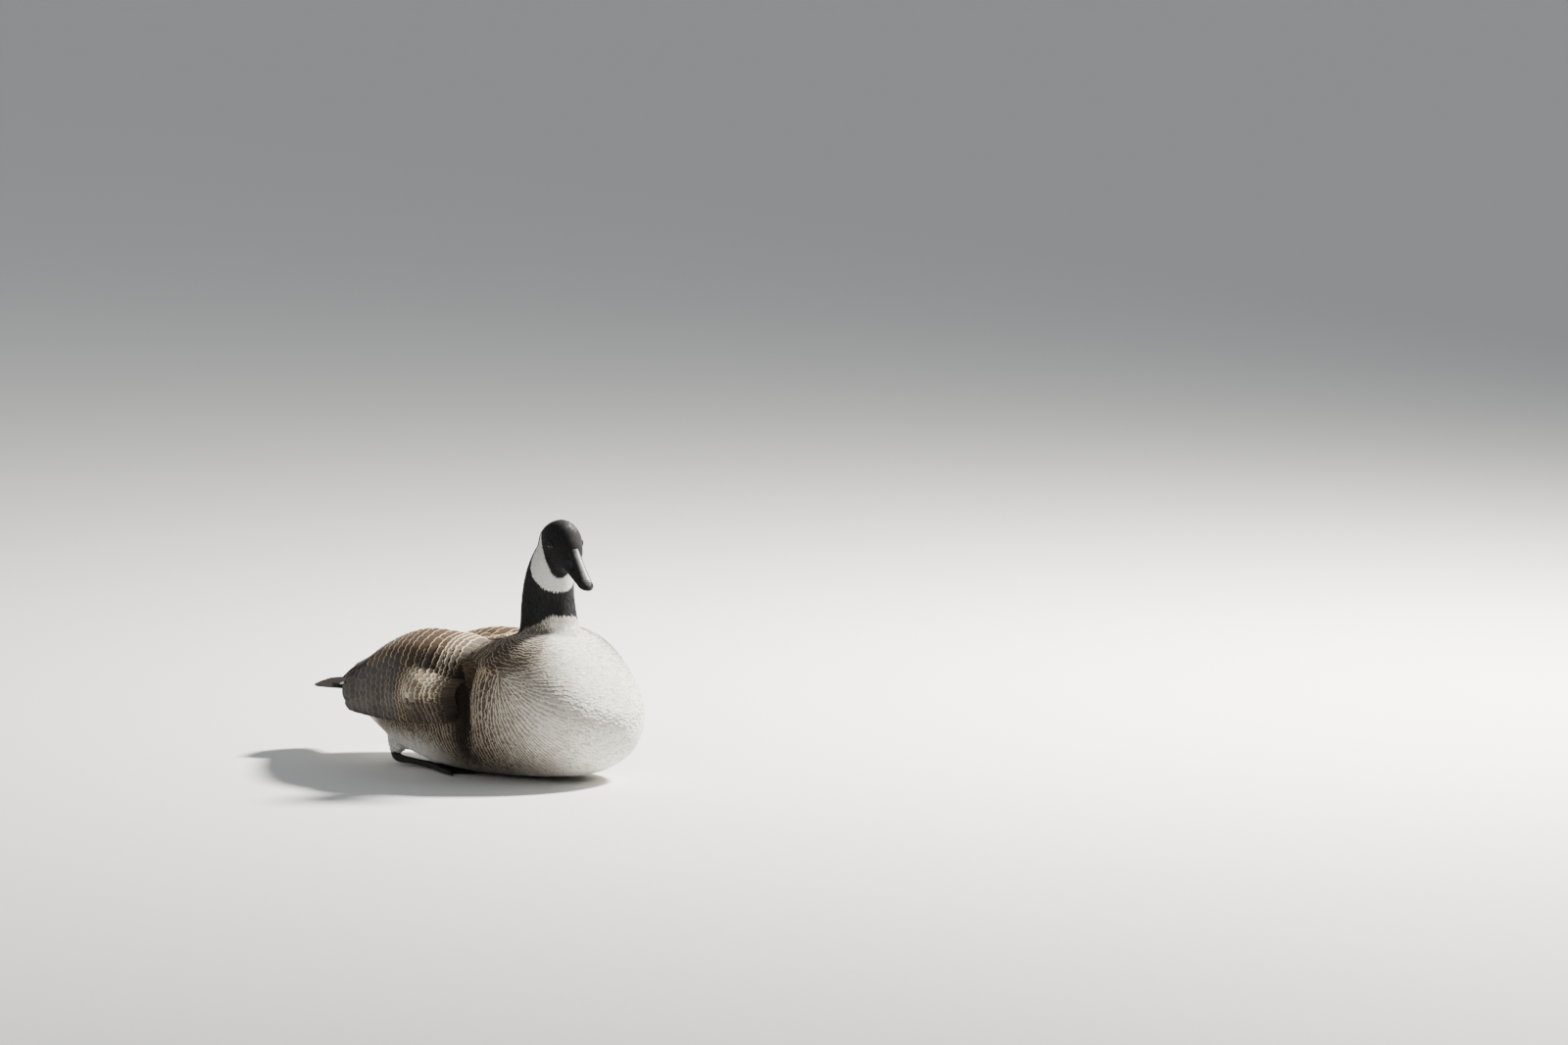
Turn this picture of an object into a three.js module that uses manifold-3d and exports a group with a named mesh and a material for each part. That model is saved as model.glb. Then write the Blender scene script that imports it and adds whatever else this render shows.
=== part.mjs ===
// Canada goose afloat, life size, as a still display model that rests on its belly.
// Millimetres, +Z up. The bird faces -Y, so its right side is -X. The floor is z = 0 and the
// water line of the pose would be WATER above it. The neck is drawn in, the head is turned a
// little to the bird's right and tipped down, and both wings are held loosely off the flanks,
// the right one lower.
import * as THREE from "three";
import { mergeVertices } from "three/addons/utils/BufferGeometryUtils.js";
import Module from "manifold-3d";

// Driving dimensions
const WATER = 80; // depth of belly under the water line
const BREAST_Y = -272; // front of the breast
const TAIL_ROOT_Y = 236; // rear end of the torso
const TAIL_TIP_Y = 292; // tip of the longest tail feathers
const BODY_HALF = 134; // widest half width of the torso
const GAP = 0.3; // clearance between neighbouring pieces
const VANE = 0.9; // thickness of a flight feather at its shaft
const EYE_R = 5.8;
const EYE_SPREAD = 22; // eye centre from the head's middle plane
const HEAD_AT = new THREE.Vector3(-3, -164, 324); // point midway between the eyes
const HEAD_YAW = 17; // degrees towards the bird's right
const HEAD_PITCH = 27; // degrees down
const BILL_TIP = 84; // from the eyes to the tip of the bill
const BILL_HALF = 14;

const wasm = await Module();
wasm.setup();

// Numbers and curves

const mix = (a, b, t) => a + (b - a) * t;
const clamp = (v, low, high) => Math.min(high, Math.max(low, v));
const hump = (v, middle, spread) => Math.exp(-(((v - middle) / spread) ** 2));

// Catmull-Rom value at t in 0..1 through evenly spaced values. An end is mirrored for a
// quantity that keeps its value over a pole, and turned over for one that vanishes there.
function spline(values, t, ends = "free") {
  const last = values.length - 1;
  const s = clamp(t, 0, 1) * last;
  const i = Math.min(last - 1, Math.floor(s));
  const f = s - i;
  const at = (k) => {
    if (k >= 0 && k <= last) return values[k];
    const edge = k < 0 ? 0 : last;
    const inner = k < 0 ? 1 : last - 1;
    if (ends === "mirror") return values[inner];
    if (ends === "turn") return -values[inner];
    return 2 * values[edge] - values[inner];
  };
  const [p, q, r, u] = [at(i - 1), at(i), at(i + 1), at(i + 2)];
  return (
    q + 0.5 * f * (r - p + f * (2 * p - 5 * q + 4 * r - u + f * (3 * (q - r) + u - p)))
  );
}

// Solids

function geometryOf(points, faces) {
  return new THREE.BufferGeometry()
    .setAttribute("position", new THREE.Float32BufferAttribute(points.flat(), 3))
    .setIndex(faces.flat());
}

function solid(geometry) {
  const bare = geometry.clone();
  for (const name of ["normal", "uv"]) bare.deleteAttribute(name);
  const merged = mergeVertices(bare, 1e-3);
  const position = merged.attributes.position;
  const corners = [];
  const index = merged.index.array;
  for (let i = 0; i < index.length; i += 3) {
    const [a, b, c] = [index[i], index[i + 1], index[i + 2]];
    if (a !== b && b !== c && a !== c) corners.push(a, b, c);
  }
  const build = (triVerts) =>
    new wasm.Manifold(
      new wasm.Mesh({ numProp: 3, vertProperties: position.array, triVerts }),
    );
  const made = build(new Uint32Array(corners));
  return made.volume() > 0 ? made : build(new Uint32Array(corners.reverse()));
}

function largest(made) {
  const pieces = made.decompose();
  return pieces.reduce((best, p) => (p.volume() > best.volume() ? p : best));
}

const join = (solids) => solids.reduce((sum, next) => sum.add(next));

// A closed skin on a sphere's grid: place(t, angle) gives the point, and t = 0 and 1 are poles.
function skin(sides, rings, place) {
  const grid = new THREE.SphereGeometry(1, sides, rings);
  const position = grid.attributes.position;
  for (let i = 0; i <= rings; i++) {
    for (let j = 0; j <= sides; j++) {
      const [x, y, z] = place(i / rings, (2 * Math.PI * (j % sides)) / sides);
      position.setXYZ(i * (sides + 1) + j, x, y, z);
    }
  }
  return solid(grid);
}

// A closed plate between two faces, each split into the same triangles.
function plate(na, nb, outer, inner) {
  const points = [];
  const faces = [];
  for (const face of [outer, inner]) {
    for (let i = 0; i <= na; i++) {
      for (let j = 0; j <= nb; j++) points.push(face(i / na, j / nb));
    }
  }
  const count = (na + 1) * (nb + 1);
  const at = (i, j) => i * (nb + 1) + j;
  const quad = (a, b, c, d) => faces.push([a, b, c], [a, c, d]);
  for (let i = 0; i < na; i++) {
    for (let j = 0; j < nb; j++) {
      const [a, b, c, d] = [at(i, j), at(i + 1, j), at(i + 1, j + 1), at(i, j + 1)];
      quad(a, b, c, d);
      faces.push([count + c, count + b, count + a], [count + d, count + c, count + a]);
    }
  }
  const rim = [];
  for (let j = 0; j < nb; j++) rim.push(at(0, j));
  for (let i = 0; i < na; i++) rim.push(at(i, nb));
  for (let j = nb; j > 0; j--) rim.push(at(na, j));
  for (let i = na; i > 0; i--) rim.push(at(i, 0));
  rim.forEach((a, k) => {
    const b = rim[(k + 1) % rim.length];
    quad(a, b, count + b, count + a);
  });
  return solid(geometryOf(points, faces));
}

// Torso: a boat-shaped body whose rows run from the breast to the tail root.
// Each row is [y, middle height, height above it, depth below it, half width].
const TORSO_ROWS = [
  [BREAST_Y, 88, 0, 0, 0],
  [-255, 88, 34, 50, 61],
  [-214, 96, 70, 86, 99],
  [-154, 105, 106, 105, 122],
  [-75, 105, 90, 109, BODY_HALF],
  [5, 105, 68, 109, 132],
  [82, 108, 50, 98, 116],
  [148, 107, 29, 74, 86],
  [202, 102, 15, 40, 54],
  [TAIL_ROOT_Y, 97, 0, 0, 0],
];
const FULLNESS = 0.88; // under 1 makes a section squarer than an ellipse

function torsoPoint(t, angle, grow = 0) {
  const column = (k, ends) => spline(TORSO_ROWS.map((row) => row[k]), t, ends);
  const [y, middle] = [column(0, "mirror"), column(1, "mirror")];
  const [up, down, half] = [2, 3, 4].map((k) => column(k, "turn"));
  const round = (v) => Math.sign(v) * Math.abs(v) ** FULLNESS;
  const s = round(Math.sin(angle));
  const swell = (v) => v + grow * Math.min(1, v / 20);
  const push = grow * Math.cos(Math.PI * t);
  return [
    swell(half) * round(Math.cos(angle)),
    y - push,
    middle + (s > 0 ? swell(up) : swell(down)) * s,
  ];
}

const TORSO_SIDES = 32;
const TORSO_RINGS = 22;
const torsoBlank = (grow) =>
  skin(TORSO_SIDES, TORSO_RINGS, (t, angle) => torsoPoint(t, angle, grow));

// Neck: rows are [y, z, half width, half depth] from inside the chest to inside the head.
const NECK_ROWS = [
  [-134, 120, 0, 0],
  [-133, 148, 34, 36],
  [-131, 186, 42, 44],
  [-129, 218, 40.5, 41],
  [-128, 248, 38, 38],
  [-131, 277, 36, 36],
  [-137, 304, 32, 32],
  [-144, 328, 21, 24],
  [-147, 341, 0, 0],
];

function neckPoint(t, angle, grow = 0) {
  const column = (k, ends) => spline(NECK_ROWS.map((row) => row[k]), t, ends);
  const lean = mix(0, HEAD_AT.x, clamp(t, 0, 1) ** 2);
  const swell = (v) => v + grow * Math.min(1, v / 20);
  return [
    lean + swell(column(2, "turn")) * Math.cos(angle),
    column(0, "mirror") + swell(column(3, "turn")) * Math.sin(angle),
    column(1, "mirror") + grow * (t > 0.5 ? 1 : -1),
  ];
}

const neckBlank = (grow) => skin(24, 12, (t, angle) => neckPoint(t, angle, grow));

// Head: a frame with its origin between the eyes. F runs to the bill, R to the bird's right
// and U up from the line of the eyes.
const headFrame = new THREE.Object3D();
headFrame.position.copy(HEAD_AT);
headFrame.rotation.set(
  THREE.MathUtils.degToRad(HEAD_PITCH),
  0,
  -THREE.MathUtils.degToRad(HEAD_YAW),
  "ZXY",
);
headFrame.updateMatrixWorld(true);
function inHead(f, r, u) {
  return new THREE.Vector3(-r, -f, u).applyMatrix4(headFrame.matrixWorld).toArray();
}

// Rows are [F, middle height, height above it, depth below it, half width].
const HEAD_ROWS = [
  [-49, -12, 0, 0, 0],
  [-42, -11, 22, 24, 19],
  [-25, -8, 34, 36, 27],
  [-4, -6, 34, 35, 28],
  [14, -7, 26, 26, 22.5],
  [26, -8, 17, 16, 16],
  [35, -9, 0, 0, 0],
];

function headPoint(t, angle, grow = 0) {
  const column = (k, ends) => spline(HEAD_ROWS.map((row) => row[k]), t, ends);
  const s = Math.sin(angle);
  const [up, down, half] = [2, 3, 4].map((k) => {
    const v = column(k, "turn");
    return v + grow * Math.min(1, v / 8);
  });
  const push = -grow * Math.cos(Math.PI * t);
  return inHead(
    column(0, "mirror") + push,
    half * Math.cos(angle),
    column(1, "mirror") + (s > 0 ? up : down) * s,
  );
}

const headBlank = (grow) => skin(26, 16, (t, angle) => headPoint(t, angle, grow));

function ball(radius, at, sides = 16, rings = 10) {
  const grid = new THREE.SphereGeometry(radius, sides, rings);
  grid.translate(...at);
  return solid(grid);
}

// A ring of lid round each eye, facing along the eye's own axis.
function lid(side) {
  const ring = new THREE.TorusGeometry(EYE_R - 0.4, 1.3, 5, 14);
  ring.rotateY(Math.PI / 2);
  ring.scale(1, 1.12, 0.92);
  ring.rotateZ((side * 14 * Math.PI) / 180);
  ring.translate(-side * (EYE_SPREAD + 2.8), 0, 0);
  ring.applyMatrix4(headFrame.matrixWorld);
  return solid(ring);
}

// Bill: upper and lower halves meet along the line of the mouth.
const mouthLine = (f) => -14.5 - 6 * clamp((f - 14) / 64, 0, 1) ** 0.8;
const culmen = (f) => mix(10, -14, clamp((f - 21) / 55, 0, 1) ** 0.85);
const billHalf = (f) =>
  BILL_HALF * mix(1, 0.8, clamp((f - 20) / 45, 0, 1));

function billUpper() {
  const [root, tip] = [8, BILL_TIP];
  return skin(16, 12, (t, angle) => {
    const f = mix(root, tip, 1 - Math.cos((Math.PI / 2) * t) ** 1.2);
    const taper = Math.sqrt(clamp((tip - f) / 9, 0, 1)) * Math.min(1, t * 6);
    const low = mouthLine(f) - 1.2 * hump(f, tip - 3, 5);
    const high = culmen(f);
    const c = Math.cos(angle);
    const s = Math.sin(angle);
    const width = billHalf(f) * taper;
    const rise = s > 0 ? (high - low) * taper * s : 0.6 * s * taper;
    return inHead(f, width * Math.sign(c) * Math.abs(c) ** 0.75, low + rise);
  });
}

function billLower() {
  const [root, tip] = [8, BILL_TIP - 8];
  return skin(14, 10, (t, angle) => {
    const f = mix(root, tip, 1 - Math.cos((Math.PI / 2) * t) ** 1.2);
    const taper = Math.sqrt(clamp((tip - f) / 9, 0, 1)) * Math.min(1, t * 6);
    const high = mouthLine(f) - 1.5;
    const depth = mix(9.5, 4, clamp((f - 16) / 50, 0, 1)) * taper;
    const c = Math.cos(angle);
    const s = Math.sin(angle);
    const width = (billHalf(f) - 1.2) * taper;
    return inHead(f, width * c, high + (s > 0 ? 0.5 * taper * s : depth * s));
  });
}

function nostril(side) {
  const slot = new THREE.SphereGeometry(1, 8, 6);
  slot.scale(3, 5.5, 1.9);
  slot.rotateX(-0.35);
  slot.translate(-side * 9.6, -45, -7.5);
  slot.applyMatrix4(headFrame.matrixWorld);
  return solid(slot);
}

// Wings: each is laid out on a sheet over the back and flank. b runs from the middle of the
// back (0) to the lower edge (1), and a from the front edge (0) to the rear one (1). A station
// holds the sheet's section as [outward, up] points, and the rows of stations are evenly
// spaced from WING_FRONT to WING_REAR.
const WING_FRONT = -95;
const WING_REAR = 250;
const LOW_WING = [
  [[28, 184], [64, 190], [104, 178], [132, 152], [150, 116], [146, 78]],
  [[26, 184], [64, 197], [110, 186], [140, 156], [154, 116], [148, 76]],
  [[22, 179], [62, 196], [108, 180], [138, 146], [148, 108], [140, 74]],
  [[17, 163], [52, 175], [92, 158], [118, 127], [127, 99], [121, 74]],
  [[11, 134], [36, 141], [67, 128], [90, 108], [99, 92], [96, 76]],
  [[7, 106], [23, 109], [42, 104], [55, 97], [62, 90], [64, 82]],
];
const TUCKED = { outward: 0.97, drop: 10 }; // the left wing's shoulder is lower and closer
const frontEdge = (b) => -54 - 26 * hump(b, 0.78, 0.33);
const rearEdge = (b) => mix(246, 162, clamp(b * 1.15, 0, 1) ** 0.8);
const WRIST = { out: 21, b: 0.74, y: -52, wide: 0.19, long: 56 };
const CURL = { depth: 20, share: 0.1 }; // the front edge rolls in towards the flank

// A point of the sheet at y and b. side is 1 for the right wing and -1 for the left.
function sheetAt(side, y, b) {
  const along = (y - WING_FRONT) / (WING_REAR - WING_FRONT);
  const pick = (k) =>
    spline(
      LOW_WING.map((station) => spline(station.map((p) => p[k]), b)),
      along,
    );
  const tuck = side > 0 ? 0 : 1;
  const bulge = WRIST.out * hump(b, WRIST.b, WRIST.wide) * hump(y, WRIST.y, WRIST.long);
  const out = pick(0) * mix(1, TUCKED.outward, tuck) + bulge * mix(1, 0.6, tuck);
  const up = pick(1) - TUCKED.drop * tuck * hump(b, 0.2, 0.3);
  return new THREE.Vector3(-side * out, y, up);
}

function wingPoint(side, a, b) {
  const point = sheetAt(side, mix(frontEdge(b), rearEdge(b), a), b);
  const roll = Math.max(0, 1 - a / CURL.share) ** 2 * CURL.depth;
  point.x += side * roll * clamp(b * 3, 0, 1);
  point.z -= roll * 0.5 * clamp(1 - b * 2, 0, 1);
  return point;
}

function wingNormal(side, a, b) {
  const step = 0.01;
  const da = wingPoint(side, a + step, b).sub(wingPoint(side, a - step, b));
  const db = wingPoint(side, a, b + step).sub(wingPoint(side, a, b - step));
  return da.cross(db).multiplyScalar(side).normalize();
}

// The wing's flesh, CORE_DEPTH under the outer faces of its feathers.
const CORE_DEPTH = 3.5;
function wingCore(side) {
  const at = (a, b, depth) =>
    wingPoint(side, a, b)
      .addScaledVector(wingNormal(side, a, b), -depth)
      .toArray();
  const inner = (a, b) => {
    const depth = mix(36, 4, a ** 3) * mix(0.25, 1, clamp(b * 4, 0, 1));
    return at(a, b, CORE_DEPTH + depth);
  };
  return plate(12, 10, (a, b) => at(a, b, CORE_DEPTH), inner);
}

// Seeded draws, so that feathers vary alike each time.
let seed = 20731;
function draw(low, high) {
  seed = (seed * 48271) % 2147483647;
  return mix(low, high, seed / 2147483647);
}

// A feather is a closed vane. place(s, c, h) gives the point s of the way from root to tip, c of
// the half width to the side and h above the surface that it lies on. The root is sunk, the tip
// is lifted over the next tier, and the shaft stands a little higher than the edges.
const VANE_ROWS = [
  [0, 0.6],
  [0.5, 1],
  [0.82, 0.84],
  [1, 0.26],
];
function vane(place, { sink, lift, shaft = 0.8, thick = VANE }) {
  const width = (s) => {
    const k = VANE_ROWS.findIndex((row) => row[0] >= s);
    return VANE_ROWS[Math.max(k, 0)][1];
  };
  const face = (drop) => (i, j) => {
    const s = VANE_ROWS[Math.round(i * (VANE_ROWS.length - 1))][0];
    const c = (2 * j - 1) * width(s);
    const body = thick * mix(1.5, 0.75, s);
    const crown = j === 0.5 ? shaft : 0;
    return place(s, c, mix(-sink, lift, s) + crown - drop * body);
  };
  return plate(VANE_ROWS.length - 1, 2, face(0), face(1));
}

// Tiers of a wing: how far back its roots start, how many feathers cross the wing between b0 and
// b1, and how long they are.
const WING_TIERS = [
  { at: -0.05, count: 6, b0: 0.08, b1: 0.95, long: 44 },
  { at: 0.04, count: 7, b0: 0.04, b1: 0.97, long: 50 },
  { at: 0.15, count: 6, b0: 0.02, b1: 0.92, long: 60 },
  { at: 0.28, count: 6, b0: 0.05, b1: 0.96, long: 70 },
  { at: 0.42, count: 5, b0: 0.02, b1: 0.92, long: 86 },
  { at: 0.58, count: 5, b0: 0.05, b1: 0.96, long: 108 },
];
const HALF_SHARE = 0.485; // of the spacing, so that neighbours in a tier stay apart

function wingFeathers(side) {
  const feathers = [];
  for (const tier of WING_TIERS) {
    const spacing = (tier.b1 - tier.b0) / tier.count;
    for (let k = 0; k < tier.count; k++) {
      const b = tier.b0 + (k + 0.5) * spacing;
      const long = (tier.long * draw(0.94, 1.06)) / (rearEdge(b) - frontEdge(b));
      const root = tier.at + draw(0, 0.012);
      const place = (s, c, h) => {
        const across = clamp(b + c * HALF_SHARE * spacing, 0.005, 0.995);
        const along = root + long * s;
        return wingPoint(side, along, across)
          .addScaledVector(wingNormal(side, along, across), h - CORE_DEPTH)
          .toArray();
      };
      feathers.push(vane(place, { sink: 2.4, lift: CORE_DEPTH - 0.4 }));
    }
  }
  return feathers;
}

// Flight feathers: long narrow quills that leave the rear of the folded wing and lie one on the
// other over the rump, each a step longer and lower than the one before it.
const QUILLS = { count: 5, half: 10, step: 2.2, shortest: 226, longest: 268 };
function quills(side) {
  return Array.from({ length: QUILLS.count }, (_, k) => {
    const order = k / (QUILLS.count - 1);
    const reach = mix(QUILLS.shortest, QUILLS.longest, order);
    const root = new THREE.Vector3(mix(36, 52, order), mix(160, 138, order), 126);
    const tip = new THREE.Vector3(mix(24, 17, order), reach, 116);
    const place = (s, c, h) => {
      const centre = root.clone().lerp(tip, s);
      const u = c * QUILLS.half * mix(1, 0.85, s);
      return [
        -side * (centre.x + u),
        centre.y,
        centre.z + h - QUILLS.step * k * mix(0.7, 1, s) - 0.12 * Math.abs(u),
      ];
    };
    return vane(place, { sink: 0, lift: 0, thick: 0.9 });
  });
}

// Tail: feathers fan out from a short fleshy root, the middle pair on top.
const TAIL = { count: 14, root: 200, fan: 20, half: 12, height: 96, step: 1.3 };
function tailCore() {
  return skin(12, 8, (t, angle) => {
    const swell = Math.sin(Math.PI * clamp(t, 0, 1)) ** 0.6;
    const y = mix(196, 252, t);
    return [34 * swell * Math.cos(angle), y, 92 + 8.5 * swell * Math.sin(angle)];
  });
}

function tailFeathers() {
  return Array.from({ length: TAIL.count }, (_, k) => {
    const spread = (k - (TAIL.count - 1) / 2) / ((TAIL.count - 1) / 2);
    const turn = THREE.MathUtils.degToRad(TAIL.fan * spread);
    const long = (TAIL_TIP_Y - TAIL.root) * mix(1, 0.86, spread ** 2);
    const level = TAIL.height - TAIL.step * Math.abs(k - TAIL.count / 2);
    const place = (s, c, h) => {
      const [u, v] = [TAIL.half * c * mix(0.55, 1, clamp(s * 1.6, 0, 1)), long * s];
      return [
        24 * spread + u * Math.cos(turn) + v * Math.sin(turn),
        TAIL.root + v * Math.cos(turn) - u * Math.sin(turn),
        level + h + 4 * s - 0.06 * spread * u,
      ];
    };
    return vane(place, { sink: 3, lift: 0, shaft: 0.5 });
  });
}

// Legs lie folded along the belly, heels back and webs forward on the floor, in beds cut in it.
const LEG = { hip: [51, 120, 52], heel: [58, 108, 11], radius: 6.2 };
const FOOT = { joint: [61, 38, 5.5], reach: 76, spread: 29, radius: 4.3, web: 2.2 };
const BED = { roof: FOOT.joint[2] + FOOT.radius + 0.5, margin: 1.5 };

function tube(points, radius, sides, steps) {
  const path = new THREE.CatmullRomCurve3(points.map((p) => new THREE.Vector3(...p)));
  const round = new THREE.Shape().absarc(0, 0, radius, 0, 2 * Math.PI);
  const outline = new THREE.Shape(round.getPoints(sides).slice(0, sides));
  const bend = { steps, extrudePath: path, bevelEnabled: false };
  return solid(new THREE.ExtrudeGeometry(outline, bend));
}

const mirrorX = (made, side) =>
  made.transform(new THREE.Matrix4().makeScale(-side, 1, 1).toArray());

function foot(side) {
  const [x, y, z] = FOOT.joint;
  const toes = [-1, 0, 1].map((k) => {
    const tip = [x + k * FOOT.spread, y - FOOT.reach * (k === 0 ? 1 : 0.9), 3.2];
    const middle = [x + 0.45 * k * FOOT.spread, mix(y, tip[1], 0.5), 4.4];
    return tube([[x, y + 4, z], middle, tip], FOOT.radius, 6, 4);
  });
  const web = (height) => (a, b) => {
    const k = 2 * b - 1;
    const scallop = 1 - 0.07 * Math.abs(Math.sin(2 * Math.PI * b)) * a;
    const along = mix(0.05, 0.93, a) * scallop;
    const reach = FOOT.reach * mix(1, 0.9, Math.abs(k)) * along;
    return [x + k * FOOT.spread * along, y - reach, height];
  };
  const pad = plate(3, 6, web(1.6 + FOOT.web), web(1.6));
  return mirrorX(join([...toes, pad]), side);
}

// A straight round length between two points, thick at one end and thin at the other.
function limb(from, to, thick, thin) {
  const [start, end] = [new THREE.Vector3(...from), new THREE.Vector3(...to)];
  const along = end.clone().sub(start);
  const round = new THREE.CylinderGeometry(thin, thick, along.length(), 12);
  const turn = new THREE.Quaternion().setFromUnitVectors(
    new THREE.Vector3(0, 1, 0),
    along.clone().normalize(),
  );
  round.applyQuaternion(turn);
  round.translate(...start.add(end).divideScalar(2).toArray());
  return solid(round);
}

function leg(side, grow = 0) {
  const [x, y, z] = FOOT.joint;
  const [hipX, hipY, hipZ] = LEG.hip;
  const radius = LEG.radius + 1.5 * grow;
  const shin = limb(LEG.heel, [x, y + 7 - 3 * grow, z + 0.7], radius, radius - 0.6);
  const thigh = limb([hipX, hipY, hipZ + 3 * grow], LEG.heel, 1.3 * radius, radius);
  return mirrorX(join([shin, thigh, ball(1.08 * radius, LEG.heel, 12, 8)]), side);
}

function footBed(side) {
  const [x, y] = FOOT.joint;
  const { margin } = BED;
  const back = FOOT.radius + margin;
  const front = y - FOOT.reach - margin;
  const wide = FOOT.spread + FOOT.radius + margin;
  const outline = new THREE.Shape([
    new THREE.Vector2(x - back, y + back),
    new THREE.Vector2(x - wide, front + 0.1 * FOOT.reach),
    new THREE.Vector2(x - 0.4 * wide, front),
    new THREE.Vector2(x + 0.4 * wide, front),
    new THREE.Vector2(x + wide, front + 0.1 * FOOT.reach),
    new THREE.Vector2(x + back, y + back),
  ]);
  const room = new THREE.ExtrudeGeometry(outline, { depth: BED.roof + 5, bevelEnabled: false });
  room.translate(0, 0, -5);
  return mirrorX(solid(room), side);
}

// Assembly: each piece is cut clear of what it grows from.
const grownTorso = torsoBlank(GAP);
const floorSlab = new THREE.BoxGeometry(800, 1000, 100);
floorSlab.translate(0, 0, -50);
const floor = solid(floorSlab);
const beds = [1, -1].flatMap((side) => [footBed(side), leg(side, GAP)]);
const torso = largest(torsoBlank(0).subtract(floor).subtract(join(beds)));

const headPlane = { at: 279, tilt: 0.42 };
// Everything over the cut between head and neck, raised by the gap.
function overNeck(raise) {
  const box = new THREE.BoxGeometry(300, 300, 200);
  box.translate(0, 0, 100 + raise);
  box.rotateX(headPlane.tilt);
  box.translate(0, -131, headPlane.at);
  return solid(box);
}
const headAndNeck = join([headBlank(0), neckBlank(0)]);
const sockets = [1, -1].map((side) =>
  ball(EYE_R + GAP, inHead(0, side * EYE_SPREAD, 0), 12, 8),
);
const head = largest(
  join([headAndNeck.intersect(overNeck(GAP)), lid(1), lid(-1)]).subtract(join(sockets)),
);
const neck = largest(headAndNeck.subtract(overNeck(0)).subtract(grownTorso));
const grownHead = headBlank(GAP);
const upper = largest(
  billUpper().subtract(grownHead).subtract(nostril(1)).subtract(nostril(-1)),
);
const lower = largest(billLower().subtract(grownHead));
const grownNeck = neckBlank(GAP);

const pieces = { torso, neck, head, bill_upper: upper, bill_lower: lower };
for (const [name, side] of [["right", 1], ["left", -1]]) {
  pieces["eye_" + name] = ball(EYE_R, inHead(0, side * EYE_SPREAD, 0), 12, 8);
  const feathered = join([wingCore(side), ...wingFeathers(side), ...quills(side)]);
  pieces["wing_" + name] = largest(feathered.subtract(grownTorso).subtract(grownNeck));
  pieces["leg_" + name] = largest(leg(side).subtract(floor));
  pieces["foot_" + name] = largest(
    foot(side).subtract(leg(side, GAP)).subtract(floor),
  );
}
pieces.tail = largest(
  join([tailCore(), ...tailFeathers()]).subtract(grownTorso),
);

// Finishes
const FINISH = {
  torso: { color: 0xb6aa9a, roughness: 0.9 },
  neck: { color: 0x0d0c0d, roughness: 0.8 },
  head: { color: 0x100f10, roughness: 0.75 },
  bill: { color: 0x17181a, roughness: 0.35 },
  eye: { color: 0x1a0f08, roughness: 0.06 },
  wing: { color: 0x6e5c4b, roughness: 0.85 },
  tail: { color: 0x1c1815, roughness: 0.8 },
  leg: { color: 0x1d1d1e, roughness: 0.5 },
  foot: { color: 0x1d1d1e, roughness: 0.5 },
};

const goose = new THREE.Group();
for (const [name, made] of Object.entries(pieces)) {
  const { numProp, vertProperties, triVerts } = made.getMesh();
  const points = [];
  for (let i = 0; i < vertProperties.length; i += numProp) {
    points.push([...vertProperties.subarray(i, i + 3)]);
  }
  const geometry = geometryOf(points, [...triVerts]);
  geometry.computeVertexNormals();
  const finish = FINISH[name.split("_")[0]];
  const mesh = new THREE.Mesh(geometry, new THREE.MeshStandardMaterial(finish));
  mesh.name = name;
  goose.add(mesh);
}

// The origin lies under the middle of the whole bird, on the floor.
const reach = new THREE.Box3().setFromObject(goose);
goose.position.set(
  -(reach.min.x + reach.max.x) / 2,
  -(reach.min.y + reach.max.y) / 2,
  -reach.min.z,
);

export default goose;
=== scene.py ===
# Canada goose resting on its belly, as a still display model: plumage, bill, eyes, legs and
# webbed feet.
# Shapes are worked out in the bird's own millimetres, in which it faces -Y with its right side
# at -X, and moved into the frame's metres at the end of each piece.
import math

import bmesh
import bpy
import numpy as np
from mathutils import Matrix, Vector
from mathutils.bvhtree import BVHTree
from mathutils.kdtree import KDTree


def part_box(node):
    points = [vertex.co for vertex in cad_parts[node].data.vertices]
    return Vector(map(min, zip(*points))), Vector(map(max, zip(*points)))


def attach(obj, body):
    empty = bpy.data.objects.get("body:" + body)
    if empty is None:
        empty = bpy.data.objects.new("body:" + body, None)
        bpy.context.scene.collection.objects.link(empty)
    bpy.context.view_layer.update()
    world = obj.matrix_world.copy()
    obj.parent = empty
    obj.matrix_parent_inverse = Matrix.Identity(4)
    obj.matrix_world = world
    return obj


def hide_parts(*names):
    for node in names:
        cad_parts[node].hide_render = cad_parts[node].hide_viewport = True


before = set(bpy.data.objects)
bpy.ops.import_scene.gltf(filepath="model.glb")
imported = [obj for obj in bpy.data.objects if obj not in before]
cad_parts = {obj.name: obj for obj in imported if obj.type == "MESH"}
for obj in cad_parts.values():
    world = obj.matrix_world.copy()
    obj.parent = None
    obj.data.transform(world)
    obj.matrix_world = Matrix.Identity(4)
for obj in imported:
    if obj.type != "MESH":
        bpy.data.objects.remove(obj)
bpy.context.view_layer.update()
MM = 0.001

# The bird's own origin in the frame: the torso is symmetric, and its front is BREAST_Y.
BREAST_Y = -272
torso_low, torso_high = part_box("torso")
SHIFT = np.array([(torso_low.x + torso_high.x) / 2, torso_low.y - BREAST_Y * MM, 0.0])

SIDES = {"right": 1, "left": -1}
rng = np.random.default_rng(20731)


# Numbers and curves

def mix(a, b, t):
    return a + (b - a) * t


def clamp(v, low=0.0, high=1.0):
    return np.minimum(high, np.maximum(low, v))


def smooth(low, high, v):
    t = clamp((v - low) / (high - low))
    return t * t * (3 - 2 * t)


def hump(v, middle, spread):
    return np.exp(-(((v - middle) / spread) ** 2))


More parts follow.
